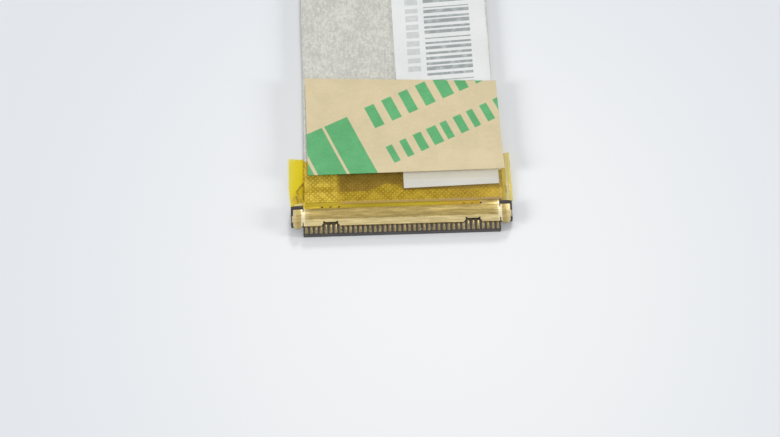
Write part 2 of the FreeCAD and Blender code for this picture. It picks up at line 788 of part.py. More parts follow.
PLUG_PARTS = {
    "plug_housing": plug_housing,
    "plug_contacts": plug_contacts,
    "plug_top_shell": plug_top_shell,
    "plug_bottom_shell": plug_bottom_shell,
    "ground_bar_top": ground_bar_top,
    "ground_bar_bottom": ground_bar_bottom,
    "coax_cores": coax_cores,
    "coax_braids": coax_braids,
}
OTHER_PARTS = {
    "coax_jackets": coax_jackets,
    "shield_wrap": shield_wrap,
    "upper_film_tape": upper_film_tape,
    "lower_film_tape": lower_film_tape,
    "inspection_label": inspection_label,
    "adhesive_pad": adhesive_pad,
    "release_liner": release_liner,
    "taper_wrap": taper_wrap,
    "collar_tape": collar_tape,
    "bundle_run": bundle_run,
    "bundle_hank": bundle_hank,
    "bundle_tail": bundle_tail,
    "hank_tie": hank_tie,
    "tail_collar": tail_collar,
    "fan_wrap": fan_wrap,
}

shapes = {name: make() for name, make in {**PLUG_PARTS, **OTHER_PARTS}.items()}
for name, make in PLUG_PARTS.items():
    shapes["board_" + name] = on_board(make())
shapes["board_film_tape"] = on_board(board_film_tape())

for name, shape in shapes.items():
    shape.translate(Vector(0, -CENTRE_Y, 0))
    shape.exportStep(f"parts/{name}.step")
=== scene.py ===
import math

import bmesh
import bpy
from bpy.props import FloatProperty, FloatVectorProperty, IntProperty, PointerProperty
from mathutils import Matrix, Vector, noise


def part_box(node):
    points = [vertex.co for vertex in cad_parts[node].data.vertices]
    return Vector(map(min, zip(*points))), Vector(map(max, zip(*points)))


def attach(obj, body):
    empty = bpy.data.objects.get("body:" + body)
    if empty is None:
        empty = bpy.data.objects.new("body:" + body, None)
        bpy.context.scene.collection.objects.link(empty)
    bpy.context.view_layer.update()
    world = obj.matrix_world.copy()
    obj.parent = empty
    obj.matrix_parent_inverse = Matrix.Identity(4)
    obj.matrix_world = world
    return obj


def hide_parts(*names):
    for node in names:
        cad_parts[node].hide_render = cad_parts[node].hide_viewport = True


bl_info = {
    "name": "Laptop display cable",
    "version": (1, 0, 0),
    "blender": (4, 5, 0),
    "location": "3D View > Sidebar > Display Cable",
    "description": "Finishes the surfaces, cloth, films and cord of a laptop display cable",
    "category": "Object",
}

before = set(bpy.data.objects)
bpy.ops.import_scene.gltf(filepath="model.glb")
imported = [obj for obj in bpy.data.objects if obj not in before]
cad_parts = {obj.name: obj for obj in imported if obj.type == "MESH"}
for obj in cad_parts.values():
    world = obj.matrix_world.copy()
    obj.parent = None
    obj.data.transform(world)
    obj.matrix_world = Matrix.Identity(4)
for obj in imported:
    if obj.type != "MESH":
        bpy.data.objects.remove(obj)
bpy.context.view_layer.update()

MM = 0.001

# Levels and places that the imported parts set, in metres
NOSE_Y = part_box("plug_housing")[0].y
BOARD_NOSE_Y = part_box("board_plug_housing")[1].y
BOARD_X = (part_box("board_plug_contacts")[0].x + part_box("board_plug_contacts")[1].x) / 2
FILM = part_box("lower_film_tape")[1].z
PLATE_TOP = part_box("plug_top_shell")[1].z
SLEEVE_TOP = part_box("shield_wrap")[1].z
LABEL_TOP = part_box("inspection_label")[1].z
PAD_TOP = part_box("adhesive_pad")[1].z
LEAD_END_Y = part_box("shield_wrap")[1].y
TAPER_END_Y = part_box("taper_wrap")[1].y
FAN_ROUND_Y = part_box("fan_wrap")[0].y
FAN_END_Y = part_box("fan_wrap")[1].y

# Each plug: prefix of its names, nose, the way its lead runs along Y, and its middle in X
PLUGS = (("", NOSE_Y, 1, 0.0), ("board_", BOARD_NOSE_Y, -1, BOARD_X))

# Stations behind a plug's nose, as the parts have them
PLATE_END = 2.75 * MM
FOOT_START = 3.1 * MM
SLEEVE_START = 3.55 * MM
LABEL_START = 4.7 * MM
LABEL_STEP = 8.5 * MM  # where the label comes down from the film to the sleeve

FILM_RIPPLE = 0.006 * MM
SLEEVE_PULL = 0.14 * MM  # how far the film's fold draws the sleeve's left side in
SLEEVE_CORNER = 0.3 * MM
PAPER = 0.08 * MM  # thickness of the label
COLLAR_WALL = 0.2 * MM  # holds the round bundle off the floor
LEVEL_RUN = 3.0 * MM  # flat run of the fan before it gathers

# The label's cut size, and how far it is turned on the sleeve
LABEL_WIDTH, LABEL_LENGTH = 10.05 * MM, 38.0 * MM
LABEL_TURN = math.radians(0.9)

# Front left, front right, rear right and rear left corners of the pad and the liner: millimetres
# from the part's nearer side, and behind the nose
CORNERS = {
    "adhesive_pad": ((0.0, 6.85), (0.0, 7.1), (0.0, 16.5), (0.0, 17.4)),
    "release_liner": ((0.17, 6.42), (0.22, 6.55), (-0.1, 16.9), (-0.04, 17.8)),
}

# Printed rows: start, end, low, high and pitch in millimetres, least and most fill of a block,
# seed, share of ink. The label's are the bars and the column of ticks, behind the nose.
LABEL_ROWS = (
    (16.4, 41.0, -7.86, -2.96, 0.64, 0.22, 0.8, 3.0, 1.0),
    (18.3, 40.6, -2.35, -0.98, 1.02, 0.58, 0.8, 11.0, 0.42),
)
# The liner's are the large blocks and two lines of small ones, from its front left corner.
LINER_ROWS = (
    (-1.95, 6.95, -6.0, 4.3, 2.98, 0.86, 0.93, 5.0, 1.0),
    (8.7, 24.0, 1.78, 4.45, 1.98, 0.5, 0.76, 21.0, 1.0),
    (8.7, 24.0, -2.75, -0.65, 1.56, 0.45, 0.76, 40.0, 1.0),
)

# Creases of the lower film's wings: from, to, width and height, in millimetres from the nose
CREASES = (
    ((-9.9, 6.5), (-10.11, 5.95), 0.08, 0.2),
    ((-10.11, 5.95), (-10.42, 5.49), 0.08, 0.24),
    ((-10.42, 5.49), (-10.72, 5.05), 0.08, 0.26),
    ((-10.72, 5.05), (-10.58, 4.8), 0.07, 0.16),
    ((-10.02, 5.7), (-10.04, 4.3), 0.07, 0.12),
    ((-10.75, 4.5), (-10.62, 3.95), 0.08, 0.14),
    ((10.88, 5.15), (10.93, 4.45), 0.06, 0.12),
    ((11.16, 5.1), (11.12, 4.5), 0.05, 0.1),
)
WING_EDGE = 10.15 * MM  # the lead's side, where a wing starts

# Where the film's darkest zone lies, just in front of the liner: millimetres across, and the
# station where its shade starts
SHADE_START = (
    (-7.0, 4.65), (-3.5, 4.62), (-2.5, 4.96), (-1.5, 5.45), (-0.1, 5.22), (0.3, 4.64), (11.0, 4.6)
)

# Shares of the shell's gold for its darker dull panel, the pale gold of a painted highlight on the
# bends at the ends of its ears, and shares for its foot under the film from left to right
DULL_SHARES = (0.52, 0.485, 0.37)
GOLD_HIGHLIGHT = (0.95, 0.87, 0.64, 1.0)
UNDER_FILM = ((0.66, 0.8, 1.05), (0.46, 0.58, 0.62), (0.51, 0.54, 0.6))

GREY_JACKET = (0.5, 0.5, 0.5)
WHITE = (1.0, 1.0, 1.0, 1.0)
# painted falloff of light: the floor keeps these shares of its colour away from the picture
FLOOR_FALLOFF = (0.86, 0.88, 0.905)  # what the floor keeps of its colour away from the picture
LAMP_DISTANCE = 3.0


def station(s):
    """Place along Y of a station behind the panel plug's nose."""
    return NOSE_Y + s


def smooth(x, low, high):
    """Soft step from 0 at low to 1 at high."""
    t = min(1.0, max(0.0, (x - low) / (high - low)))
    return t * t * (3 - 2 * t)


def behind(y, low, high):
    """Soft step between two stations behind the panel plug's nose, in millimetres."""
    return smooth(y, station(low * MM), station(high * MM))


def hump(x, middle, width):
    """Soft hump, 1 at its middle and near 0 two widths away."""
    return math.exp(-(((x - middle) / width) ** 2))


def wave(x, y, pitch, seed=0.0):
    """Soft noise from -1 to 1 over a surface, with features of about one pitch."""
    return noise.noise(Vector((x / pitch, y / pitch, seed)))


def shares(count):
    """Even steps from 0 to 1."""
    return [k / (count - 1) for k in range(count)]


def half_turn(start, count):
    """Angles over half a turn."""
    return [start + math.pi * t for t in shares(count)]


def tint(name, description, *rgb):
    """A colour that a user may change."""
    return FloatVectorProperty(name=name, description=description, subtype="COLOR", default=rgb)


def length(name, description, millimetres):
    """A length that a user may change."""
    default = millimetres * MM
    return FloatProperty(name=name, description=description, unit="LENGTH", default=default)


class LookSettings(bpy.types.PropertyGroup):
    """Colours of the cable's surfaces."""

    shell_gold: tint("Shell gold", "Brushed plate of the shells", 0.7, 0.565, 0.27)
    # darker than the shell's gold: painted shade of the contacts' recess
    contact_gold: tint("Contact gold", "Gold flash on the contacts", 0.32, 0.25, 0.12)
    housing: tint("Housing", "Moulded plastic of the plugs", 0.027, 0.022, 0.022)
    film_clear: tint("Clear film", "What one face of the film lets through", 1.0, 0.931, 0.587)
    film_middle: tint("Dull film", "The same where it lies less close", 0.888, 0.811, 0.47)
    # film_deep tints the darkest zone, just in front of the liner
    film_deep: tint("Doubled film", "The same where two layers lie", 0.77, 0.69, 0.46)
    wing_film: tint("Wings", "The same at the lower film's wings", 1.0, 0.949, 0.436)
    # pale colour of the wings' painted reflection and of their crumpled haze
    wing_haze_and_reflection: tint("Wing haze", "Scattered light in the wings", 1.0, 0.95, 0.62)
    film_haze: tint("Film haze", "Scattered light where the film stands off", 0.345, 0.23, 0.155)
    cloth: tint("Shield cloth", "Metallised cloth", 0.582, 0.58, 0.53)
    label: tint("Label", "Label paper", 0.745, 0.766, 0.756)
    label_ink: tint("Label ink", "Bars printed on the label", 0.27, 0.3, 0.3)
    liner: tint("Liner", "Waxed kraft of the release liner", 0.652, 0.548, 0.34)
    liner_ink: tint("Liner ink", "Print on the release liner", 0.062, 0.35, 0.122)
    foam: tint("Foam", "Adhesive foam pad", 0.62, 0.62, 0.6)
    tape_black: tint("Black cloth", "Collars and tie", 0.018, 0.018, 0.02)
    tin: tint("Tinned copper", "Cores, braids and ground bars", 0.7, 0.69, 0.66)
    jacket: tint("Wire jackets", "Insulation of the wires", 0.05, 0.09, 0.3)


class SizeSettings(bpy.types.PropertyGroup):
    """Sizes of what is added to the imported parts."""

    metal_round: length("Metal edge", "Rounding of stamped edges", 0.025)
    contact_count: IntProperty(name="Contacts", description="Contacts in a row", default=40, min=1)
    contact_pitch: length("Contact pitch", "From one contact to the next", 0.5)
    contact_width: length("Contact width", "Width of one contact", 0.28)
    weave_pitch: length("Weave pitch", "From one thread of the shield cloth to the next", 0.24)
    cloth_thickness: length("Cloth", "Thickness of the shield cloth", 0.12)
    liner_curl: length("Liner curl", "Lift of the liner's front edge", 0.24)
    wing_lift: length("Wing lift", "Lift of the lower film's wings", 0.3)
    bundle_diameter: length("Bundle", "Diameter of the round bundle", 3.0)
    wrap_pitch: length("Wrap pitch", "One turn of the cloth tape along the bundle", 5.5)
    print_tilt: FloatProperty(
        name="Print tilt",
        description="Tilt of the liner's print",
        subtype="ANGLE",
        default=math.radians(24.5),
    )
    pile_density: FloatProperty(
        name="Pile", description="Loops on the tie for each square metre", default=9.0e6, min=0
    )


class StageSettings(bpy.types.PropertyGroup):
    """Camera and light."""

    lens: FloatProperty(name="Lens", description="Focal length", unit="CAMERA", default=76.15)
    elevation: FloatProperty(
        name="Elevation",
        description="Camera above the horizon",
        subtype="ANGLE",
        default=math.radians(66),
    )
    turn: FloatProperty(
        name="Turn",
        description="Turn of the cable in the picture",
        subtype="ANGLE",
        default=math.radians(1.86),
    )
    distance: length("Distance", "From the camera to its aim", 167.85)
    aim: FloatVectorProperty(
        name="Aim",
        description="Point in the middle of the picture",
        subtype="TRANSLATION",
        default=(-1.211 * MM, -37.629 * MM, 1.0 * MM),
    )
    floor: tint("Floor", "Pale floor", 0.846, 0.858, 0.871)
    floor_size: length("Floor size", "Side of the floor", 3000.0)
    sky_level: FloatProperty(
        name="Sky", description="Light of the dome at the horizon", default=0.325
    )
    zenith_level: FloatProperty(
        name="Zenith", description="Light of the dome overhead", default=0.64
    )
    left_level: FloatProperty(name="Left lamp", description="Its light on the floor", default=0.235)
    right_level: FloatProperty(
        name="Right lamp", description="Its light on the floor", default=0.15
    )
    back_level: FloatProperty(name="Back lamp", description="Its light on the floor", default=0.19)


def looks():
    return bpy.context.scene.cable_looks


def sizes():
    return bpy.context.scene.cable_sizes


def stage_settings():
    return bpy.context.scene.cable_stage


def bundle_radius():
    return sizes().bundle_diameter / 2


def bundle_level():
    """Height of the round bundle's middle where it lies on the floor."""
    return bundle_radius() + COLLAR_WALL


class Graph:
    """Adds nodes to a node tree and joins them."""

    def __init__(self, tree):
        self.tree = tree
        self.column = 0

    def add(self, kind, inputs=None, **settings):
        """A new node beside the last one, with its settings and inputs."""
        made = self.tree.nodes.new(kind)
        made.location = (self.column * 180, 0)
        self.column += 1
        for name, value in settings.items():
            setattr(made, name, value)
        return self.fill(made, inputs or {})

    def fill(self, node, inputs):
        """Links or sets a node's inputs, by name or number."""
        for name, value in inputs.items():
            if isinstance(value, bpy.types.NodeSocket):
                self.tree.links.new(value, node.inputs[name])
            else:
                node.inputs[name].default_value = value
        return node

    def math(self, operation, a, b=0.0, clamp=False):
        made = self.add("ShaderNodeMath", {0: a, 1: b}, operation=operation, use_clamp=clamp)
        return made.outputs[0]

    def times(self, product, *others):
        for other in others:
            product = self.math("MULTIPLY", product, other)
        return product

    def plus(self, a, b, clamp=False):
        return self.math("ADD", a, b, clamp)

    def minus(self, a, b):
        return self.math("SUBTRACT", a, b)

    def over(self, a, b):
        return self.math("DIVIDE", a, b)

    def most(self, a, b):
        return self.math("MAXIMUM", a, b)

    def vector(self, operation, a, b):
        return self.add("ShaderNodeVectorMath", {0: a, 1: b}, operation=operation).outputs[0]

    def parts(self, vector):
        return self.add("ShaderNodeSeparateXYZ", {0: vector}).outputs

    def between(self, factor, a, b):
        """A value between two others."""
        return self.add("ShaderNodeMix", {0: factor, 2: a, 3: b}, data_type="FLOAT").outputs[0]

    def blend(self, factor, a, b, kind="MIX"):
        """A colour between two others, or another blend of them."""
        settings = {"data_type": "RGBA", "blend_type": kind}
        return self.add("ShaderNodeMix", {0: factor, 6: a, 7: b}, **settings).outputs[2]

    def spread(self, value, low, high, to_low=0.0, to_high=1.0):
        """Takes a value from one range to another, softly and within the ends."""
        inputs = {"From Min": low, "From Max": high, "To Min": to_low, "To Max": to_high}
        made = self.add(
            "ShaderNodeMapRange", {"Value": value, **inputs}, interpolation_type="SMOOTHSTEP"
        )
        return made.outputs["Result"]

    def zone(self, value, low, high, to_low=0.0, to_high=1.0, about=0.0):
        """A spread between two places, in millimetres from another."""
        return self.spread(value, about + low * MM, about + high * MM, to_low, to_high)

    def noise(self, vector, scale, detail=2.0, rough=0.5):
        inputs = {"Vector": vector, "Scale": scale, "Detail": detail, "Roughness": rough}
        return self.add("ShaderNodeTexNoise", inputs).outputs["Fac"]

    def streaks(self, vector, scales, detail=2.0, rough=0.5):
        """Noise with a scale of its own along each axis."""
        return self.noise(self.vector("MULTIPLY", vector, scales), 1.0, detail, rough)

    def chance(self, number):
        """A random value from 0 to 1 for each whole number."""
        made = self.add("ShaderNodeTexWhiteNoise", {"W": number}, noise_dimensions="1D")
        return made.outputs["Value"]

    def attribute(self, name):
        return self.add("ShaderNodeAttribute", attribute_name=name).outputs["Fac"]

    def use(self, tree, inputs):
        """The outputs of a shader node group that gets its own values."""
        return self.add("ShaderNodeGroup", inputs, node_tree=tree).outputs

    def bump(self, height, distance, strength=1.0):
        inputs = {"Strength": strength, "Distance": distance, "Height": height}
        return self.add("ShaderNodeBump", inputs).outputs["Normal"]


def colour(rgb, factor=1.0, lift=0.0):
    """RGBA of a colour times one factor or three, with a lift, no brighter than white."""
    factors = factor if isinstance(factor, (tuple, list)) else (factor,) * 3
    return (*(min(1.0, c * k + lift) for c, k in zip(rgb, factors)), 1.0)


def built_once(name):
    """Lets a node group's builder run only where the file has no group of that name yet."""

    def wrap(build):
        return lambda: bpy.data.node_groups.get(name) or build(name)

    return wrap


def group(name, inputs, outputs):
    """A shader node group with named sockets: its graph, input sockets and output node."""
    tree = bpy.data.node_groups.new(name, "ShaderNodeTree")
    kinds = {"Vector": "NodeSocketVector"}
    for in_out, labels in (("INPUT", inputs), ("OUTPUT", outputs)):
        for label in labels:
            kind = kinds.get(label, "NodeSocketFloat")
            tree.interface.new_socket(name=label, in_out=in_out, socket_type=kind)
    g = Graph(tree)
    return g, g.add("NodeGroupInput").outputs, g.add("NodeGroupOutput")


@built_once("Plain weave")
def weave_group(name):
    """Plain weave: threads that pass over and under each other, with a little unevenness."""
    g, given, out = group(name, ("Vector", "Pitch", "Unevenness"), ("Height", "Over"))
    shift = {"Vector": given["Vector"], "Scale": 900.0, "Detail": 1.0}
    shift = g.add("ShaderNodeTexNoise", shift).outputs["Color"]
    push = {0: g.vector("SUBTRACT", shift, (0.5, 0.5, 0.5))}
    push["Scale"] = g.times(given["Pitch"], given["Unevenness"])
    pushed = g.add("ShaderNodeVectorMath", push, operation="SCALE").outputs[0]
    x, y, _ = g.parts(g.vector("ADD", given["Vector"], pushed))
    turn = g.over(math.pi, given["Pitch"])
    across = g.math("SINE", g.times(x, turn))
    along = g.math("SINE", g.times(y, turn))
    over = g.spread(g.times(across, along), -0.25, 0.25)
    warp, weft = g.math("ABSOLUTE", across), g.math("ABSOLUTE", along)
    height = g.plus(g.times(over, warp), g.times(g.minus(1.0, over), weft))
    g.fill(out, {"Height": height, "Over": g.times(over, g.times(warp, weft))})
    return g.tree


@built_once("Blotches and grain")
def speckle_group(name):
    """Soft blotches and fine grain, as one value around a half."""
    inputs = ("Vector", "Blotch scale", "Grain scale", "Grain share")
    g, given, out = group(name, inputs, ("Value",))
    blotch = g.noise(given["Vector"], given["Blotch scale"])
    grain = g.noise(given["Vector"], given["Grain scale"])
    g.fill(out, {"Value": g.between(given["Grain share"], blotch, grain)})
    return g.tree


@built_once("Printed row")
def print_row_group(name):
    """One row of printed blocks along a tilted line, each of its own width."""
    inputs = ("Vector", "Tilt", "Start", "End", "Low", "High", "Pitch")
    inputs += ("Least fill", "Most fill", "Slant", "Seed", "Softness")
    g, given, out = group(name, inputs, ("Mask",))
    soft, pitch, least = given["Softness"], given["Pitch"], given["Least fill"]
    turned = {"Vector": given["Vector"], "Axis": (0, 0, -1), "Angle": given["Tilt"]}
    u, v, _ = g.parts(g.add("ShaderNodeVectorRotate", turned).outputs[0])

    def edge(value, at, rising):
        """A soft edge at a place, up or down."""
        ends = (0.0, 1.0) if rising else (1.0, 0.0)
        return g.spread(value, g.minus(at, soft), g.plus(at, soft), *ends)

    leaning = g.plus(u, g.times(v, given["Slant"]))
    count = g.over(g.minus(leaning, given["Start"]), pitch)
    chance = g.chance(g.plus(g.math("FLOOR", count), given["Seed"]))
    fill = g.plus(least, g.times(chance, g.minus(given["Most fill"], least)))
    place = g.times(g.math("FRACT", count), pitch)
    mask = g.times(edge(place, soft, True), edge(place, g.times(fill, pitch), False))
    for value, low, high in ((leaning, "Start", "End"), (v, "Low", "High")):
        mask = g.times(mask, edge(value, given[low], True))
        mask = g.times(mask, edge(value, given[high], False))
    g.fill(out, {"Mask": mask})
    return g.tree


@built_once("Brushed plate")
def brushed_group(name):
    """Fine lines of a brushed plate with a few deeper scratches."""
    g, given, out = group(name, ("Vector",), ("Height", "Streak"))
    fine = g.streaks(given["Vector"], (3200.0, 15000.0, 4000.0), 3.0, 0.65)
    wide = g.streaks(given["Vector"], (500.0, 5200.0, 1500.0))
    speck = g.noise(given["Vector"], 9000.0, 2.0, 0.7)
    streak = g.plus(g.plus(g.times(wide, 0.6), g.times(fine, 0.25)), g.times(speck, 0.15))
    g.fill(out, {"Height": g.plus(fine, g.times(speck, 0.35)), "Streak": streak})
    return g.tree


def weave(g, vector, pitch, unevenness):
    """Height of the threads of a plain weave, and where its warp lies over its weft."""
    inputs = {"Vector": vector, "Pitch": pitch, "Unevenness": unevenness}
    return g.use(weave_group(), inputs)


def speckle(g, vector, blotch, grain, share):
    """Blotches and grain of two scales, and the grain's share."""
    inputs = {"Vector": vector, "Blotch scale": blotch, "Grain scale": grain}
    return g.use(speckle_group(), {**inputs, "Grain share": share})["Value"]


def printed(g, vector, tilt, rows, softness, slant=0.0, about=0.0):
    """How much ink lies on a surface that has rows of printed blocks."""
    ink = None
    for start, end, low, high, pitch, least, most, seed, share in rows:
        inputs = {"Vector": vector, "Tilt": tilt, "Slant": slant, "Softness": softness}
        inputs.update({"Start": about + start * MM, "End": about + end * MM})
        inputs.update({"Low": low * MM, "High": high * MM, "Pitch": pitch * MM})
        inputs.update({"Least fill": least, "Most fill": most, "Seed": seed})
        row = g.use(print_row_group(), inputs)["Mask"]
        if share < 1:
            row = g.times(row, share)
        ink = row if ink is None else g.most(ink, row)
    return ink


def new_material(name):
    """A material with its graph and Principled shader, and the Object coordinates that it reads."""
    material = bpy.data.materials.new(name)
    material.use_nodes = True
    g = Graph(material.node_tree)
    shader = material.node_tree.nodes["Principled BSDF"]
    return material, g, shader, g.add("ShaderNodeTexCoord").outputs["Object"]


def gold_material(name, nose, way, middle):
    """Brushed gold plate over stamped steel, with the dull pressed panel on a plug's top, a painted
    highlight on the bends at its ears and painted shade across their domes.

    Its zones lie behind the plug's nose, to its sides, and at heights above the floor.
    """
    material, g, shader, place = new_material(name)
    brushed = g.use(brushed_group(), {"Vector": place})
    x, y, z = g.parts(place)
    back = g.times(g.minus(y, nose), way)
    across = g.math("ABSOLUTE", g.minus(x, middle))
    wavy = g.times(g.minus(g.noise(place, 1200.0), 0.5), 0.2 * MM)
    under_film = g.times(g.zone(back, 2.74, 2.8), g.zone(x, 8.1, 7.9, about=middle))
    panel = g.most(g.zone(across, 9.9, 9.2, 0.6, 1.0), under_film)
    panel = g.times(panel, g.zone(g.plus(back, wavy), 1.5, 1.62))
    # painted shade: the ears are duller and darker across their domes, most on their inner side
    ear_dome_shade = g.times(g.zone(across, 10.1, 10.3), g.zone(across, 10.95, 10.5, 0.66, 0.9))
    dull = g.times(g.most(panel, ear_dome_shade), g.zone(z, 0.5, 0.55))
    # painted highlight: the bends at the ears' necks and outer ends go pale gold, more towards the
    # top
    neck_highlight = g.times(g.zone(across, 9.75, 9.95), g.zone(across, 10.3, 10.15))
    bright = g.most(neck_highlight, g.zone(across, 10.6, 10.95, 0.0, 0.3))
    bright = g.times(bright, g.zone(z, 0.35, 0.5, 0.0, 0.55))

    gold = looks().shell_gold
    shade = g.spread(brushed["Streak"], 0.36, 0.64)
    plain = g.blend(shade, colour(gold, 0.8), colour(gold, 1.16, 0.04))
    # the dull panel is darker by these shares of the gold
    matt = (colour(gold, [c * k for c in DULL_SHARES]) for k in (0.76, 1.24))
    left, inner, right = (colour(gold, share) for share in UNDER_FILM)
    foot = g.blend(g.zone(x, -3.4, -7.0, about=middle), inner, left)
    foot = g.blend(g.zone(x, 3.6, 5.0, about=middle), foot, right)
    matt = g.blend(under_film, g.blend(shade, *matt), foot)
    rough = g.plus(g.spread(brushed["Streak"], 0.3, 0.7, 0.4, 0.26), g.times(dull, 0.16))
    g.fill(shader, {
        "Base Color": g.blend(bright, g.blend(dull, plain, matt), GOLD_HIGHLIGHT),
        "Metallic": 1.0,
        "Roughness": rough,
        "Normal": g.bump(brushed["Height"], 0.016 * MM, 0.6),
    })
    return material


def contact_material():
    """Gold flash on the contacts, a little duller in places, darkened by painted shade of their
    recess.
    """
    material, g, shader, place = new_material("contact_gold")
    grain = speckle(g, place, 1400.0, 12000.0, 0.4)
    gold = looks().contact_gold
    g.fill(shader, {
        "Base Color": g.blend(g.spread(grain, 0.35, 0.65), colour(gold, 0.66), colour(gold)),
        "Metallic": 1.0,
        "Roughness": g.spread(grain, 0.3, 0.7, 0.26, 0.4),
    })
    return material


def plastic_material():
    """Black moulded plastic with a fine satin grain."""
    material, g, shader, place = new_material("moulded_plastic")
    grain = speckle(g, place, 900.0, 16000.0, 0.6)
    black = looks().housing
    g.fill(shader, {
        "Base Color": g.blend(grain, colour(black), colour(black, 1.8)),
        "Roughness": g.spread(grain, 0.3, 0.7, 0.34, 0.5),
        "Normal": g.bump(grain, 0.006 * MM, 0.4),
    })
    return material


def tin_material(name, pitch=None):
    """Tinned copper: the bright strands of a braid of some pitch, or smooth tin."""
    material, g, shader, place = new_material(name)
    shade = weave(g, place, pitch, 0.4)["Height"] if pitch else g.noise(place, 3000.0, 3.0)
    tin = looks().tin
    g.fill(shader, {
        "Base Color": g.blend(shade, colour(tin, 0.6), colour(tin)),
        "Metallic": 1.0,
        "Roughness": 0.34,
        "Normal": g.bump(shade, 0.01 * MM, 0.6 if pitch else 0.3),
    })
    return material


def jacket_material():
    """Extruded jackets, nearly half of them grey."""
    material, g, shader, place = new_material("wire_jacket")
    wire = g.math("FLOOR", g.over(g.parts(place)[0], sizes().contact_pitch))
    grey = g.spread(g.chance(wire), 0.55, 0.6)
    g.fill(shader, {
        "Base Color": g.blend(grey, colour(looks().jacket), colour(GREY_JACKET)),
        "Roughness": 0.3,
        "Normal": g.bump(g.noise(place, 5000.0), 0.004 * MM, 0.3),
    })
    return material


def own_map(g):
    """The piece's own map, for a weave that follows it."""
    return g.add("ShaderNodeUVMap", uv_map="Wrap").outputs["UV"]


def cloth_material(name, mapped=False, shaded=0.0):
    """Metallised woven cloth: fine uneven threads, pressed patches and stray fibres along it.

    Its low side may carry painted shade: a darker band along its lower rim, where shadow falls by
    the floor.
    """
    material, g, shader, place = new_material(name)
    vector = own_map(g) if mapped else place
    height = weave(g, vector, sizes().weave_pitch, 0.9)["Height"]
    pressed = speckle(g, vector, 620.0, 4400.0, 0.55)
    fibres = g.streaks(vector, (3000.0, 1500.0, 3000.0), 3.0, 0.7)
    mottled = g.plus(g.times(fibres, 0.5), g.times(pressed, 0.5))
    cloth = looks().cloth
    worn = g.blend(g.spread(mottled, 0.39, 0.61), colour(cloth, 0.86), colour(cloth, 1.12))
    _, y, z = g.parts(place)
    at_film = g.zone(y, 8.4, 7.9, about=NOSE_Y)
    worn = g.blend(at_film, worn, g.blend(0.42, worn, (1.0, 1.0, 0.95, 1.0)))
    # painted shade: below half a millimetre up, the cloth darkens by the given share, fading out by
    # 0.72 mm
    worn = g.blend(g.zone(z, 0.5, 0.72, shaded, 0.0), worn, colour(cloth, 0.3))
    threads = g.blend(g.spread(height, 0.0, 0.6), colour(cloth, 0.62), worn)
    g.fill(shader, {
        "Base Color": g.blend(0.3, worn, threads),
        "Metallic": 0.2,
        "Roughness": g.spread(mottled, 0.3, 0.7, 0.86, 0.72),
        "Sheen Weight": 0.12,
        "Sheen Roughness": 0.4,
        "Normal": g.bump(g.plus(height, g.times(fibres, 1.2)), 0.03 * MM, 0.32),
    })
    return material


def black_cloth_material():
    """Black woven tape of the collars and the tie."""
    material, g, shader, _ = new_material("collar_cloth")
    woven = weave(g, own_map(g), 0.3 * MM, 0.35)
    black = looks().tape_black
    g.fill(shader, {
        "Base Color": g.blend(woven["Over"], colour(black), colour(black, 3.2)),
        "Roughness": 0.72,
        "Sheen Weight": 0.3,
        "Normal": g.bump(woven["Height"], 0.05 * MM, 0.7),
    })
    return material


def film_material(name, clear_tint, haze_tint, weave_share):
    """Clear amber film: it tints what lies under it, darker where its depth attribute says so.

    Where the film is stuck to cloth, the weave shows through it in bright and dull points.
    """
    material, g, shader, place = new_material(name)
    depth, haze, stuck = (g.attribute(label) for label in ("depth", "haze", "stuck"))
    uneven = g.times(g.minus(g.noise(place, 900.0), 0.5), 0.22)
    deep = g.plus(depth, uneven, clamp=True)
    tone = g.blend(g.spread(deep, 0.0, 0.5), colour(clear_tint), colour(looks().film_middle))
    tone = g.blend(g.spread(deep, 0.5, 1.0), tone, colour(looks().film_deep))
    over = weave(g, place, sizes().weave_pitch, 0.3)["Over"]
    pressed = g.spread(g.noise(place, 1300.0), 0.34, 0.62, 0.25, 1.0)
    hollow = g.times(g.spread(over, 0.6, 0.1, 0.0, weave_share), pressed)
    points = g.times(stuck, hollow, g.spread(depth, 0.4, 0.9, 1.0, 0.6))
    tone = g.blend(points, tone, g.blend(1.0, tone, (0.86, 0.845, 0.79, 1.0), "MULTIPLY"))
    clear = g.add("ShaderNodeBsdfTransparent", {"Color": tone})
    own = (clear_tint[0] * 0.85, clear_tint[1] * 0.66, clear_tint[2] ** 3 * 0.4)
    g.fill(shader, {
        "Base Color": g.blend(haze, colour(own), colour(haze_tint)),
        "Roughness": 0.16,
        "Specular IOR Level": 0.6,
        "Normal": g.bump(g.noise(place, 2600.0), 0.01 * MM, 0.35),
    })
    grazing = g.add("ShaderNodeLayerWeight", {"Blend": 0.25}).outputs["Facing"]
    gloss = g.plus(g.times(g.math("POWER", grazing, 3.0), 0.3), 0.03)
    share = g.plus(gloss, g.times(haze, 0.85), clamp=True)
    mixed = g.add("ShaderNodeMixShader", {0: share, 1: clear.outputs[0], 2: shader.outputs[0]})
    g.fill(material.node_tree.nodes["Material Output"], {"Surface": mixed.outputs[0]})
    return material


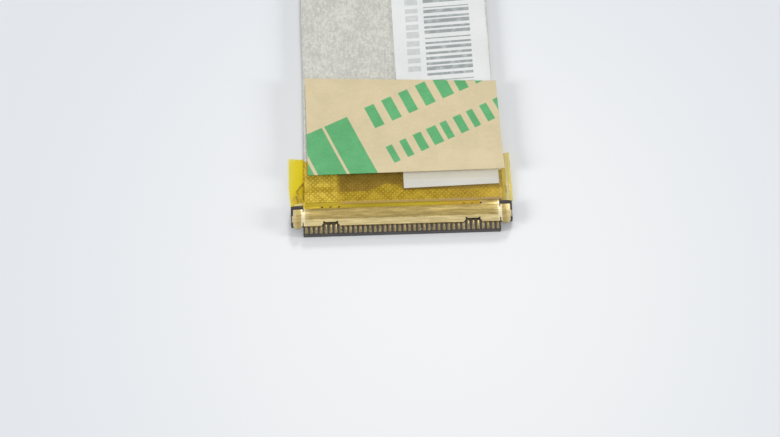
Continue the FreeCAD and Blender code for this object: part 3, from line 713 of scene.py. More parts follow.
def label_material():
    """Label paper with plain printed bars and a column of ticks."""
    material, g, shader, place = new_material("label_paper")
    tilt = math.pi / 2 + LABEL_TURN
    ink = printed(g, place, tilt, LABEL_ROWS, 0.035 * MM, slant=0.04, about=NOSE_Y)
    grain = speckle(g, place, 260.0, 5200.0, 0.35)
    white = looks().label
    paper = g.blend(g.spread(grain, 0.35, 0.65), colour(white, 0.93), colour(white))
    y = g.parts(place)[1]
    over_film = g.zone(y, 8.2, 8.7, 1.0, 0.0, about=NOSE_Y)
    under_liner = g.zone(y, 5.45, 6.0, about=NOSE_Y)
    tone = g.blend(under_liner, (0.84, 0.8, 0.73, 1.0), (1.0, 0.93, 0.79, 1.0))
    paper = g.blend(over_film, paper, g.blend(1.0, paper, tone, "MULTIPLY"))
    worn = g.spread(g.noise(place, 1900.0, 3.0), 0.26, 0.56, 0.62, 0.97)
    g.fill(shader, {
        "Base Color": g.blend(g.times(ink, worn), paper, colour(looks().label_ink)),
        "Roughness": 0.62,
        "Normal": g.bump(grain, 0.012 * MM, 0.35),
    })
    return material


def liner_material():
    """Waxed kraft paper with rows of plain tilted blocks."""
    material, g, shader, place = new_material("liner_paper")
    from_corner = g.vector("SUBTRACT", place, tuple(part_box("release_liner")[0]))
    ink = printed(g, from_corner, sizes().print_tilt, LINER_ROWS, 0.05 * MM)
    fibres = g.streaks(place, (900.0, 3400.0, 900.0), 3.0, 0.6)
    grain = speckle(g, place, 420.0, 7000.0, 0.4)
    mottled = g.plus(g.times(fibres, 0.22), g.times(grain, 0.78))
    kraft, green = looks().liner, looks().liner_ink
    paper = g.blend(g.spread(mottled, 0.36, 0.64), colour(kraft, 0.94), colour(kraft, 1.04))
    print_tone = g.blend(g.spread(mottled, 0.38, 0.62), colour(green), colour(green, 1.16, 0.015))
    g.fill(shader, {
        "Base Color": g.blend(g.times(ink, 0.96), paper, print_tone),
        "Roughness": 0.66,
        "Normal": g.bump(mottled, 0.012 * MM, 0.4),
    })
    return material


def foam_material():
    """Closed-cell foam, its cells open along the cut edge."""
    material, g, shader, place = new_material("pad_foam")
    cells = g.add("ShaderNodeTexVoronoi", {"Vector": place, "Scale": 9000.0}).outputs["Distance"]
    foam = looks().foam
    g.fill(shader, {
        "Base Color": g.blend(g.spread(cells, 0.1, 0.6), colour(foam, 0.75), colour(foam)),
        "Roughness": 0.8,
        "Normal": g.bump(cells, 0.02 * MM, 0.6),
    })
    return material


def floor_material():
    """Pale floor, a little darker away from the middle of the picture: a painted falloff of light.
    """
    material, g, shader, place = new_material("pale_floor")
    x, y, _ = g.parts(place)
    settings = stage_settings()
    across = g.minus(x, settings.aim[0] + 5 * MM)
    away = g.times(g.minus(y, settings.aim[1] - 6 * MM), math.sin(settings.elevation))
    far = g.math("SQRT", g.plus(g.times(across, across), g.times(away, away)))
    pale = settings.floor
    g.fill(shader, {
        # painted falloff of light round the middle of the picture
        "Base Color": g.blend(g.zone(far, 4, 52), colour(pale), colour(pale, FLOOR_FALLOFF)),
        "Roughness": 0.9,
        "Specular IOR Level": 0.0,
    })
    return material


def add_object(name, data):
    made = bpy.data.objects.new(name, data)
    bpy.context.scene.collection.objects.link(made)
    return made


def shade(mesh, degrees):
    """Smooth shading that keeps the edges sharper than an angle."""
    mesh.polygons.foreach_set("use_smooth", [True] * len(mesh.polygons))
    mesh.set_sharp_from_angle(angle=math.radians(degrees))
    mesh.update()


def new_mesh(name, points, faces):
    mesh = bpy.data.meshes.new(name)
    mesh.from_pydata(points, [], faces)
    mesh.validate()
    return mesh


def paint(piece, material):
    piece.data.materials.clear()
    piece.data.materials.append(material)


def finish_piece(piece, material, replaced):
    """Gives a finished piece its material and its body, and hides the parts that it stands for."""
    paint(piece, material)
    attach(piece, "root")
    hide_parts(*replaced)


def freeze(piece):
    """Turns a piece and its modifiers into one plain mesh."""
    depsgraph = bpy.context.evaluated_depsgraph_get()
    mesh = bpy.data.meshes.new_from_object(piece.evaluated_get(depsgraph))
    mesh.name = piece.name
    piece.modifiers.clear()
    piece.data = mesh


def sheet_solid(name, columns, rows, top, thickness):
    """A closed sheet over a grid of shares from 0 to 1: top(u, v) is its upper point."""
    points = [top(u, v) for u in columns for v in rows]
    count = len(points)
    points += [p - Vector((0, 0, thickness)) for p in points]
    wide, long = len(columns), len(rows)
    faces = []
    for i in range(wide - 1):
        for j in range(long - 1):
            a, b = i * long + j, (i + 1) * long + j
            faces.append((a, b, b + 1, a + 1))
            faces.append((count + a + 1, count + b + 1, count + b, count + a))
    rim = [i * long for i in range(wide)]
    rim += [(wide - 1) * long + j for j in range(1, long)]
    rim += [i * long + long - 1 for i in range(wide - 2, -1, -1)]
    rim += range(long - 2, 0, -1)
    for a, b in zip(rim, rim[1:] + rim[:1]):
        faces.append((b, a, count + a, count + b))
    mesh = new_mesh(name, points, faces)
    shade(mesh, 35)
    return add_object(name, mesh)


def rounded_copy(node, name):
    """A copy of a part with its coplanar faces joined and its edges rounded."""
    shape = bmesh.new()
    shape.from_mesh(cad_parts[node].data)
    bmesh.ops.remove_doubles(shape, verts=shape.verts, dist=0.5e-6)
    flat = math.radians(1.5)
    bmesh.ops.dissolve_limit(shape, angle_limit=flat, verts=shape.verts, edges=shape.edges)
    mesh = bpy.data.meshes.new(name)
    shape.to_mesh(mesh)
    shape.free()
    piece = add_object(name, mesh)
    bevel = piece.modifiers.new("Edges", "BEVEL")
    bevel.width = sizes().metal_round
    bevel.segments = 2
    bevel.limit_method = "ANGLE"
    bevel.angle_limit = math.radians(28)
    bevel.use_clamp_overlap = True
    bevel.harden_normals = False
    freeze(piece)
    shade(piece.data, 40)
    return piece


def film_level(s):
    """Top of what the upper film lies on, at a station behind a plug's nose."""
    up = smooth(s, PLATE_END - 0.02 * MM, FOOT_START + 0.06 * MM)
    return PLATE_TOP + (SLEEVE_TOP - PLATE_TOP) * up


def surface_level(x, y):
    """Top of the sleeve with the film and the label that lie on it."""
    s = y - NOSE_Y
    level = SLEEVE_TOP + FILM * (1 - smooth(s, LABEL_STEP, LABEL_STEP + 0.3 * MM))
    left, right = -0.35 * MM, 10.2 * MM
    on_label = smooth(x, left, left + 0.3 * MM) * (1 - smooth(x, right, right + 0.2 * MM))
    return level + (LABEL_TOP - SLEEVE_TOP - FILM) * on_label


def store(piece, name, value_at, nose=NOSE_Y, way=1):
    """Stores a value from 0 to 1 on each point of a piece, for its material.

    The value is that of a place across and behind a plug's nose, in millimetres.
    """
    attribute = piece.data.attributes.new(name, "FLOAT", "POINT")
    places = [(v.co.x / MM, way * (v.co.y - nose) / MM) for v in piece.data.vertices]
    attribute.data.foreach_set("value", [value_at(*place) for place in places])


def crease(across, s, a, b, width):
    """How near a place is to the line from a to b: 1 on it, near 0 two widths away."""
    start, end, place = Vector(a), Vector(b), Vector((across, s))
    along = end - start
    share = min(1.0, max(0.0, (place - start).dot(along) / along.length_squared))
    return hump((place - start - along * share).length, 0.0, width)


def direction(azimuth, elevation):
    """Way to a lamp or the camera, by its azimuth from the front."""
    flat = math.cos(elevation)
    return Vector((math.sin(azimuth) * flat, -math.cos(azimuth) * flat, math.sin(elevation)))


class CABLE_OT_stage(bpy.types.Operator):
    """Make the camera, the lamps, the sky and the pale floor"""

    bl_idname = "cable.stage"
    bl_label = "Stage"

    def execute(self, context):
        settings = stage_settings()
        self.camera(context.scene, settings)
        self.floor(settings)
        self.sky(context.scene, settings)
        lamps = (
            # name, azimuth, elevation, level on the floor, size for each metre of its distance
            ("left_lamp", -80, 22.8, settings.left_level, 0.367),
            ("right_lamp", 84, 14, settings.right_level, 0.233),
            ("back_lamp", 168, 30, settings.back_level, 0.225),
        )
        for name, azimuth, elevation, level, size in lamps:
            self.lamp(name, math.radians(azimuth), math.radians(elevation), level, size)
        return {"FINISHED"}

    def aimed(self, name, data, back, distance):
        """An object that looks at the middle of the picture."""
        made = add_object(name, data)
        made.location = Vector(stage_settings().aim) + back * distance
        made.rotation_mode = "QUATERNION"
        made.rotation_quaternion = back.to_track_quat("Z", "Y")
        return made

    def camera(self, scene, settings):
        data = bpy.data.cameras.new("camera")
        data.lens = settings.lens
        data.sensor_width = 36.0
        data.clip_start = 0.01
        data.clip_end = 10.0
        back = direction(-settings.turn, settings.elevation)
        scene.camera = self.aimed("camera", data, back, settings.distance)

    def lamp(self, name, azimuth, elevation, level, size):
        data = bpy.data.lights.new(name, "AREA")
        data.shape = "DISK"
        data.size = size * LAMP_DISTANCE
        data.energy = level * (math.pi * LAMP_DISTANCE) ** 2 / math.sin(elevation)
        lamp = self.aimed(name, data, direction(azimuth, elevation), LAMP_DISTANCE)
        lamp.visible_camera = False

    def floor(self, settings):
        half = settings.floor_size / 2
        corners = [(-half, -half, 0), (half, -half, 0), (half, half, 0), (-half, half, 0)]
        mesh = new_mesh("floor", corners, [(0, 1, 2, 3)])
        mesh.materials.append(floor_material())
        add_object("floor", mesh)

    def sky(self, scene, settings):
        """A soft dome, which shows as the floor's own colour to the camera and to gloss."""
        scene.world = bpy.data.worlds.new("sky")
        scene.world.use_nodes = True
        g = Graph(scene.world.node_tree)
        height = g.parts(g.add("ShaderNodeTexCoord").outputs["Generated"])[2]
        dome = g.spread(height, 0.35, 1.0, settings.sky_level, settings.zenith_level)
        path = g.add("ShaderNodeLightPath").outputs
        seen = g.most(path["Is Camera Ray"], path["Is Transmission Ray"])
        seen = g.most(seen, path["Is Glossy Ray"])
        g.fill(scene.world.node_tree.nodes["Background"], {
            "Strength": g.between(seen, dome, 1.0),
            "Color": g.blend(seen, WHITE, colour(settings.floor)),
        })


class CABLE_OT_plug_shells(bpy.types.Operator):
    """Finish the stamped shells of both plugs"""

    bl_idname = "cable.plug_shells"
    bl_label = "Plug shells"

    def execute(self, context):
        for prefix, nose, way, middle in PLUGS:
            gold = gold_material(prefix + "brushed_gold", nose, way, middle)
            for part in ("top_shell", "bottom_shell"):
                node = f"{prefix}plug_{part}"
                piece = rounded_copy(node, prefix + part)
                finish_piece(piece, gold, [node])
        return {"FINISHED"}


class CABLE_OT_plug_housings(bpy.types.Operator):
    """Finish the moulded housings of both plugs"""

    bl_idname = "cable.plug_housings"
    bl_label = "Plug housings"

    def execute(self, context):
        plastic = plastic_material()
        for prefix, *_ in PLUGS:
            paint(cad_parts[prefix + "plug_housing"], plastic)
        return {"FINISHED"}


def geometry_tree(name, inputs):
    """A tree of geometry nodes with named inputs beside its geometry: its graph and inputs."""
    tree = bpy.data.node_groups.new(name, "GeometryNodeTree")
    sockets = {"Geometry": "Geometry", **inputs}
    for label, kind in sockets.items():
        tree.interface.new_socket(name=label, in_out="INPUT", socket_type="NodeSocket" + kind)
    tree.interface.new_socket(
        name="Geometry", in_out="OUTPUT", socket_type="NodeSocketGeometry"
    )
    g = Graph(tree)
    return g, g.add("NodeGroupInput").outputs


def make_real(g, geometry, material):
    """Ends a tree: its copies become a plain mesh with a material."""
    real = g.add("GeometryNodeRealizeInstances", {"Geometry": geometry}).outputs[0]
    painted = g.add("GeometryNodeSetMaterial", {"Geometry": real, "Material": material})
    g.add("NodeGroupOutput", {0: painted.outputs[0]})
    return g.tree


def contact_row_tree():
    """Geometry nodes: one contact repeated along X."""
    kinds = {"Count": "Int", "Pitch": "Float", "Middle": "Float", "Metal": "Material"}
    g, given = geometry_tree("Contact row", kinds)
    half = g.times(g.minus(given["Count"], 1), given["Pitch"], 0.5)
    start = g.add("ShaderNodeCombineXYZ", {"X": g.minus(given["Middle"], half)}).outputs[0]
    step = g.add("ShaderNodeCombineXYZ", {"X": given["Pitch"]}).outputs[0]
    line = {"Count": given["Count"], "Start Location": start, "Offset": step}
    line = g.add("GeometryNodeMeshLine", line).outputs[0]
    copies = {"Points": line, "Instance": given["Geometry"]}
    copies = g.add("GeometryNodeInstanceOnPoints", copies).outputs[0]
    return make_real(g, copies, given["Metal"])


def pile_tree():
    """Geometry nodes: small thread loops standing on a band's outer face."""
    kinds = {"Density": "Float", "Seed": "Int", "Loop size": "Float", "Cloth": "Material"}
    g, given = geometry_tree("Loop pile", kinds)
    up = g.parts(g.add("GeometryNodeInputNormal").outputs[0])[2]
    settings = {"data_type": "FLOAT", "operation": "GREATER_THAN"}
    upper = g.add("FunctionNodeCompare", {0: up, 1: 0.2}, **settings).outputs[0]
    band = {"Mesh": given["Geometry"], "Selection": upper}
    band.update({"Density": given["Density"], "Seed": given["Seed"]})
    points = g.add("GeometryNodeDistributePointsOnFaces", band).outputs
    arc = {"Resolution": 6, "Radius": given["Loop size"], "Start Angle": 0.0}
    arc = g.add("GeometryNodeCurveArc", {**arc, "Sweep Angle": math.radians(200)}).outputs[0]
    upright = {"Geometry": arc, "Rotation": (math.radians(90), 0.0, 0.0)}
    upright = g.add("GeometryNodeTransform", upright).outputs[0]
    thread = {"Resolution": 3, "Radius": g.times(given["Loop size"], 0.16)}
    thread = g.add("GeometryNodeCurvePrimitiveCircle", thread).outputs[0]
    loop = g.add("GeometryNodeCurveToMesh", {0: upright, 1: thread}).outputs[0]
    ends = {"Min": (-0.5, -0.5, 0.0), "Max": (0.5, 0.5, 6.283), "Seed": given["Seed"]}
    chance = g.add("FunctionNodeRandomValue", data_type="FLOAT_VECTOR")
    chance = g.fill(chance, ends).outputs[0]
    turned = {0: points["Rotation"], 1: chance}
    turned = g.add("FunctionNodeRotateRotation", turned, rotation_space="LOCAL").outputs[0]
    loops = {"Points": points["Points"], "Instance": loop, "Rotation": turned}
    loops = g.add("GeometryNodeInstanceOnPoints", loops).outputs[0]
    both = g.add("GeometryNodeJoinGeometry", {0: given["Geometry"]})
    g.fill(both, {0: loops})
    return make_real(g, both.outputs[0], given["Cloth"])


def socket_id(tree, name):
    """Identifier of a tree's input, which a modifier needs in place of its name."""
    for item in tree.interface.items_tree:
        if item.in_out == "INPUT" and item.name == name:
            return item.identifier
    raise ValueError(f"the tree has no input named {name}")


def grow(piece, tree, values):
    """Runs a geometry tree on a piece and leaves a plain mesh."""
    modifier = piece.modifiers.new(tree.name, "NODES")
    modifier.node_group = tree
    for name, value in values.items():
        modifier[socket_id(tree, name)] = value
    freeze(piece)


class CABLE_OT_contacts(bpy.types.Operator):
    """Lay a row of stamped contacts in both plugs"""

    bl_idname = "cable.contacts"
    bl_label = "Contacts"

    def execute(self, context):
        metal = contact_material()
        tree = contact_row_tree()
        for prefix, nose, way, middle in PLUGS:
            node = prefix + "plug_contacts"
            piece = self.one_contact(prefix + "contact_row", node, nose, way)
            values = {"Count": sizes().contact_count, "Pitch": sizes().contact_pitch}
            grow(piece, tree, {**values, "Middle": middle, "Metal": metal})
            shade(piece.data, 50)
            finish_piece(piece, metal, [node])
        return {"FINISHED"}

    def one_contact(self, name, node, nose, way):
        """Side view of a contact with eased edges, drawn out to its width about x = 0."""
        low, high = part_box(node)
        metal = 0.1 * MM
        pad_top = high.z + 0.005 * MM
        side_view = (
            # millimetres behind the nose, and height
            (0.06, pad_top - metal),
            (1.4, pad_top - metal),
            (1.9, low.z),
            (2.75, low.z),
            (2.75, low.z + metal),
            (1.95, low.z + metal),
            (1.45, pad_top),
            (0.06, pad_top),
        )
        half = sizes().contact_width / 2
        shape = bmesh.new()
        left, right = (
            [shape.verts.new((x, nose + way * s * MM, z)) for s, z in side_view]
            for x in (-half, half)
        )
        for k in range(len(side_view)):
            after = (k + 1) % len(side_view)
            shape.faces.new((left[k], left[after], right[after], right[k]))
        shape.faces.new(left)
        shape.faces.new(right[::-1])
        bmesh.ops.recalc_face_normals(shape, faces=shape.faces)
        long_edges = [e for e in shape.edges if abs(e.verts[0].co.x - e.verts[1].co.x) < 1e-9]
        bevel = {"offset": 0.03 * MM, "segments": 2, "affect": "EDGES", "profile": 0.5}
        bmesh.ops.bevel(shape, geom=long_edges, **bevel)
        mesh = bpy.data.meshes.new(name)
        shape.to_mesh(mesh)
        shape.free()
        return add_object(name, mesh)


class CABLE_OT_films(bpy.types.Operator):
    """Lay the amber films over and under the plugs"""

    bl_idname = "cable.films"
    bl_label = "Film tapes"

    def execute(self, context):
        upper = film_material("upper_film", looks().film_clear, looks().film_haze, 1.0)
        lower = film_material("lower_film", looks().wing_film, looks().wing_haze_and_reflection, 0.0)
        self.upper(upper)
        self.board(upper)
        self.lower(lower)
        return {"FINISHED"}

    def upper(self, material):
        """The film from the plate to the sleeve, folded down the sleeve's left side."""
        low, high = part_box("upper_film_tape")
        sleeve_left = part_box("shield_wrap")[0].x + SLEEVE_PULL
        step_x = 7.98 * MM  # right of it, the front edge lies further back
        front_left, front_right = station(2.77 * MM), station(3.3 * MM)
        rear_right = station(6.67 * MM)
        fold = 0.04  # share of the columns that lie in the fold
        columns = [fold * u for u in shares(7)]
        columns += [fold + (1 - fold) * u for u in shares(90)[1:]]
        step_u = fold + (1 - fold) * (step_x - low.x) / (high.x - low.x)
        columns = sorted([*columns, step_u - 0.001])

        def top(u, v):
            share = (u - fold) / (1 - fold)
            front = front_left if u < step_u else front_right
            rear = high.y + max(0.0, share) * (rear_right - high.y)
            y = front + v * (rear - front)
            on_sleeve = smooth(y, station(FOOT_START), station(SLEEVE_START + 0.2 * MM))
            level = film_level(y - NOSE_Y) + FILM
            left = low.x + (sleeve_left - low.x) * on_sleeve
            if share >= 0:
                x = left + share * (high.x - left)
                return Vector((x, y, level + FILM_RIPPLE * (1 + wave(x, y, 0.9 * MM, 3.0))))
            turn = (1 - u / fold) * math.pi / 2
            out = 0.07 * math.sin(turn)
            drop = 0.07 * (1 - math.cos(turn)) + 0.34 * max(0.0, 0.5 - u / fold)
            return Vector((left - out * MM * on_sleeve, y, level - drop * MM * on_sleeve))

        piece = sheet_solid("upper_film", columns, shares(90), top, FILM)
        store(piece, "depth", self.upper_depth)
        store(piece, "haze", self.upper_haze)
        store(piece, "stuck", lambda across, s: smooth(s, 3.45, 3.6))
        finish_piece(piece, material, ["upper_film_tape"])

    def upper_depth(self, across, s):
        """Darker behind the plate, reddish to the right, and darkest in a zone just in front of the
        liner.
        """
        for (ax, a), (bx, b) in zip(SHADE_START, SHADE_START[1:]):
            if across <= bx:
                start = a + (b - a) * max(0.0, (across - ax) / (bx - ax))
                break
        else:
            start = SHADE_START[-1][1]
        middle = smooth(across, -6.9, -6.2) * (1 - 0.85 * smooth(across, 8.0, 9.2))
        reddish = 0.16 * hump(across, 6.2, 1.1)
        right = smooth(across, -6.4, -6.1)
        darkest_zone = 0.84 * right * smooth(s - start, -0.15, 0.25)
        faint = 0.22 * (1 - right) * smooth(s, 4.5, 4.75) * (1.25 - smooth(s, 5.2, 5.4))
        return min(1.0, (0.36 * middle + reddish) * smooth(s, 3.5, 3.62) + darkest_zone + faint)

    def upper_haze(self, across, s):
        """Pale where the film stands off at the step, along its front edge and to the right."""
        strip = smooth(s, 3.26, 3.36) * (1 - smooth(s, 3.5, 3.62)) * smooth(across, -6.9, -5.5)
        pale = 0.14 * smooth(across, 3.0, 6.0) + 0.08 * smooth(across, 8.0, 9.5)
        return min(1.0, 0.64 * strip + 0.12 * hump(s, 2.8, 0.06) + pale)

    def board(self, material):
        low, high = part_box("board_film_tape")

        def top(u, v):
            x = low.x + u * (high.x - low.x)
            y = low.y + v * (high.y - low.y)
            lift = FILM_RIPPLE * (1 + wave(x, y, 0.9 * MM, 8.0))
            return Vector((x, y, film_level(BOARD_NOSE_Y - y) + FILM + lift))

        piece = sheet_solid("board_film", shares(70), shares(50), top, FILM)
        store(piece, "depth", lambda across, s: 0.3)
        store(piece, "stuck", lambda across, s: smooth(s, 3.45, 3.6), BOARD_NOSE_Y, -1)
        finish_piece(piece, material, ["board_film_tape"])

    def lower(self, material):
        """The film under the plug and the lead, with a lifted and creased wing on each side."""
        low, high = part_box("lower_film_tape")
        slant = 0.16 * MM
        lift = sizes().wing_lift

        def top(u, v):
            y = low.y + v * (high.y - low.y)
            left = low.x + slant * (1 - smooth(y, low.y, low.y + 2.2 * MM))
            right = high.x - 0.1 * MM * smooth(y, low.y, high.y)
            x = left + u * (right - left)
            out = smooth(abs(x), WING_EDGE, high.x)
            rise = 0.5 + 0.35 * wave(x, y, 2.4 * MM, 5.0) + 0.5 * smooth(y, low.y, high.y)
            z = FILM + lift * out * rise
            on_wing = smooth(abs(x), WING_EDGE - 0.2 * MM, WING_EDGE + 0.25 * MM)
            for a, b, width, height in CREASES:
                z += height * MM * crease(x / MM, (y - NOSE_Y) / MM, a, b, width) * on_wing
            return Vector((x, y, z))

        wing = (high.x - WING_EDGE) / (high.x - low.x)
        columns = [u * wing for u in shares(30)]
        columns += [wing + u * (1 - 2 * wing) for u in shares(10)[1:-1]]
        columns += [1 - wing + u * wing for u in shares(30)]
        piece = sheet_solid("lower_film", columns, shares(90), top, FILM)
        edge, side = WING_EDGE / MM, high.x / MM

        # painted shade: the film's tint darkens along its creases and where the left wing is
        # crumpled
        def depth(across, s):
            folds = max(crease(across, s, a, b, width) for a, b, width, _ in CREASES)
            crumpled = 0.16 * (1 - smooth(s, 4.3, 5.4)) * smooth(-across, edge - 0.3, edge)
            crumpled *= smooth(-across, side - 0.02, side - 0.4)
            uneven = 1 + wave(across * MM, station(s * MM), 0.35 * MM, 2.0)
            return min(1.0, 1.5 * folds + crumpled * uneven)

        store(piece, "depth", depth)
        store(piece, "haze", self.wing_haze_and_reflection)
        finish_piece(piece, material, ["lower_film_tape"])

    def wing_haze_and_reflection(self, across, s):
        """A pale streak and crumpled haze on the left wing; a pale band and the pale right wing are
        painted reflection of light.
        """
        left = smooth(-across, 9.9, 10.1)
        streak = hump(s - 0.17 * (across + 10.4), 3.66, 0.09) * left
        streak *= 0.8 * (1 - smooth(-across, 10.9, 11.1))
        right = (0.44 + 0.14 * smooth(across, 11.1, 11.3)) * smooth(across, 10.2, 10.4)
        crumpled = 0.14 * (1 - smooth(s, 4.3, 5.4)) * left
        return min(1.0, streak + 0.5 * hump(across, 11.02, 0.13) + right + crumpled)


def rounded_ring(width, height, corner):
    """Points round a rectangle with round corners about its middle, from the seam below."""
    half_width, half_height = width / 2 - corner, height / 2 - corner
    points = []

    def turn(cx, cz, quarter):
        for t in shares(6):
            angle = math.pi / 2 * (quarter + t)
            points.append((cx + corner * math.cos(angle), cz + corner * math.sin(angle)))

    turn(half_width, -half_height, -1)
    turn(half_width, half_height, 0)
    for t in shares(91)[1:-1]:
        points.append((half_width - 2 * half_width * t, height / 2))
    turn(-half_width, half_height, 1)
    turn(-half_width, -half_height, 2)
    return points


def tube_shell(name, outer, inner, closed):
    """A thin cloth tube through rings of points, with an inner wall and rims."""
    size = len(outer[0])
    points = [p for ring in (*outer, *inner) for p in ring]
    half = len(outer) * size
    end = half - size
    sides = [(j, (j + 1) % size) for j in range(size if closed else size - 1)]
    faces = []
    for start in range(0, end, size):
        for j, after in sides:
            a, b = start + j, start + after
            c, d = b + size, a + size
            faces.append((a, d, c, b))
            faces.append((half + b, half + c, half + d, half + a))
    for j, after in sides:
        faces.append((j, after, half + after, half + j))
        faces.append((end + after, end + j, half + end + j, half + end + after))
    if not closed:
        for start in range(0, end, size):
            a, b = start, start + size
            faces.append((a, half + a, half + b, b))
            a, b = a + size - 1, b + size - 1
            faces.append((b, half + b, half + a, a))
    mesh = new_mesh(name, points, faces)
    turned = bmesh.new()
    turned.from_mesh(mesh)
    bmesh.ops.recalc_face_normals(turned, faces=turned.faces)
    turned.to_mesh(mesh)
    turned.free()
    shade(mesh, 50)
    return add_object(name, mesh)


class CABLE_OT_sleeve(bpy.types.Operator):
    """Fold the conductive cloth round the flat row of wires"""

    bl_idname = "cable.sleeve"
    bl_label = "Shield sleeve"

    def execute(self, context):
        low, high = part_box("shield_wrap")
        width, height = high.x - low.x, high.z - low.z
        middle = (low + high) / 2
        wall = sizes().cloth_thickness
        stations = [low.y + t * (high.y - low.y) for t in shares(110)]
        outer, inner = (
            [self.ring(width - 2 * inset, height - 2 * inset, middle, y, corner) for y in stations]
            for inset, corner in ((0.0, SLEEVE_CORNER), (wall, 0.18 * MM))
        )
        piece = tube_shell("shield_sleeve", outer, inner, False)
        cloth = cloth_material("shield_cloth", shaded=0.6)
        finish_piece(piece, cloth, ["shield_wrap"])
        return {"FINISHED"}

    def ring(self, width, height, middle, y, corner):
        """The sleeve's section, opened at the seam below, drawn in beside the pad and sagging."""
        free = behind(y, 18, 24) * (1 - smooth(y, LEAD_END_Y - 3 * MM, LEAD_END_Y))
        narrow = behind(y, 11, 16) * (1 - smooth(y, LEAD_END_Y - 9 * MM, LEAD_END_Y))
        pulled = 1 - behind(y, 18, 26)
        seam = -3.0 * MM - middle.x
        points = [(seam + 0.1 * MM, -height / 2), *rounded_ring(width, height, corner)]
        points.append((seam - 0.1 * MM, -height / 2))
        ring = []
        for x, z in points:
            x -= 0.34 * MM * narrow * smooth(x, 0.75 * width / 2, width / 2)
            x += SLEEVE_PULL * pulled * smooth(-x, 0.75 * width / 2, width / 2)
            sag = 0.0
            if z > height / 2 - 1e-7:
                sag = 0.03 * MM * free * (0.5 + 0.5 * wave(x, y, 2.2 * MM, 1.0))
            ring.append(Vector((middle.x + x, y, middle.z + z - sag)))
        return ring


class CABLE_OT_label(bpy.types.Operator):
    """Stick the printed label on the sleeve"""

    bl_idname = "cable.label"
    bl_label = "Label"

    def execute(self, context):
        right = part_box("inspection_label")[1].x
        across = Vector((math.cos(LABEL_TURN), math.sin(LABEL_TURN)))
        along = Vector((-across.y, across.x))
        corner = Vector((right - LABEL_WIDTH * across.x, station(LABEL_START)))

        def top(u, v):
            # towards its front the label is drawn in at the left and set back, most at the right
            place = corner + across * (u * LABEL_WIDTH) + along * (v * LABEL_LENGTH)
            x = place.x + 0.24 * MM * (1 - u) * (1 - smooth(v, 0.0, 0.55))
            y = place.y + (0.12 + 0.1 * u) * MM * (1 - v)
            over = 1 - smooth(y, station(LABEL_STEP), station(LABEL_STEP + 0.5 * MM))
            loose = max(smooth(v, 0.012, 0.0), smooth(u, 0.985, 1.0))
            return Vector((x, y, SLEEVE_TOP + PAPER + FILM * over + 0.03 * MM * loose))

        front = 0.25  # share of the length that has the finer rows
        rows = [front * k / 160 for k in range(160)] + [front + (1 - front) * v for v in shares(60)]
        piece = sheet_solid("label", shares(40), rows, top, PAPER)
        finish_piece(piece, label_material(), ["inspection_label"])
        return {"FINISHED"}


class CABLE_OT_pad_and_liner(bpy.types.Operator):
    """Stick the foam pad over the lead and lay its release liner on it"""

    bl_idname = "cable.pad_and_liner"
    bl_label = "Pad and liner"

    def execute(self, context):
        self.pad()
        self.liner()
        return {"FINISHED"}

    def plan(self, node, u, v):
        """Place of a share of the width and the length between a part's corners."""
        low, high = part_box(node)
        sides = (low.x, high.x, high.x, low.x)
        a, b, c, d = (
            Vector((side + x * MM, station(s * MM))) for side, (x, s) in zip(sides, CORNERS[node])
        )
        return a.lerp(b, u).lerp(d.lerp(c, u), v)

    def pad(self):
        gap = 0.004 * MM
        columns, rows = shares(60), shares(50)

        def top(u, v):
            x, y = self.plan("adhesive_pad", u, v)
            rough = 0.03 * MM * wave(x, y, 0.25 * MM, 9.0)
            x += rough * (u in (0.0, 1.0))
            y += rough * (v in (0.0, 1.0))
            return Vector((x, y, PAD_TOP - 0.005 * MM))

        piece = sheet_solid("foam_pad", columns, rows, top, 0.01 * MM)
        for vertex in piece.data.vertices[len(columns) * len(rows):]:
            vertex.co.z = surface_level(vertex.co.x, vertex.co.y) + gap
        finish_piece(piece, foam_material(), ["adhesive_pad"])

    def liner(self):
        curl = sizes().liner_curl

        def top(u, v):
            x, y = self.plan("release_liner", u, v)
            lift = 0.1 * smooth(u, 0.94, 1.0) + 0.04 * smooth(u, 0.03, 0.0)
            lift += 0.05 * smooth(v, 0.94, 1.0) + 0.01 * wave(x, y, 3 * MM, 4.0)
            lift = lift * MM + curl * smooth(v, 0.3, 0.0) ** 1.5 * (0.75 + 0.25 * u)
            return Vector((x, y, PAD_TOP + 0.1 * MM + lift))

        piece = sheet_solid("release_paper", shares(90), shares(70), top, 0.09 * MM)
        finish_piece(piece, liner_material(), ["release_liner"])


def gathered_section(share, width, height, inset):
    """Section of cloth gathered from flat to round: x and z about the section's middle."""
    ease = smooth(share, 0, 1)
    radius = bundle_radius()
    width += ease * (2 * radius - width) - 2 * inset
    height += ease * (2 * radius - height) - 2 * inset
    corner = SLEEVE_CORNER + ease * (radius - SLEEVE_CORNER) - inset
    folds = 0.16 * MM * math.sin(math.pi * share) ** 0.8
    points = []
    for k in range(160):
        turn = 2 * math.pi * k / 160
        c, s = math.cos(turn), math.sin(turn)
        # the clamped turns leave straight runs between the round corners
        x = (width / 2 - corner) * max(-1.0, min(1.0, 1.6 * c)) + corner * c
        z = (height / 2 - corner) * max(-1.0, min(1.0, 4.0 * s)) + corner * s
        pleat = 0.6 * math.sin(9 * turn + 1.0) + 0.4 * math.sin(17 * turn + 2.3 + 3 * share)
        points.append((x + folds * pleat * c * 0.6, z - folds * (0.5 - 0.5 * pleat) * s))
    return points


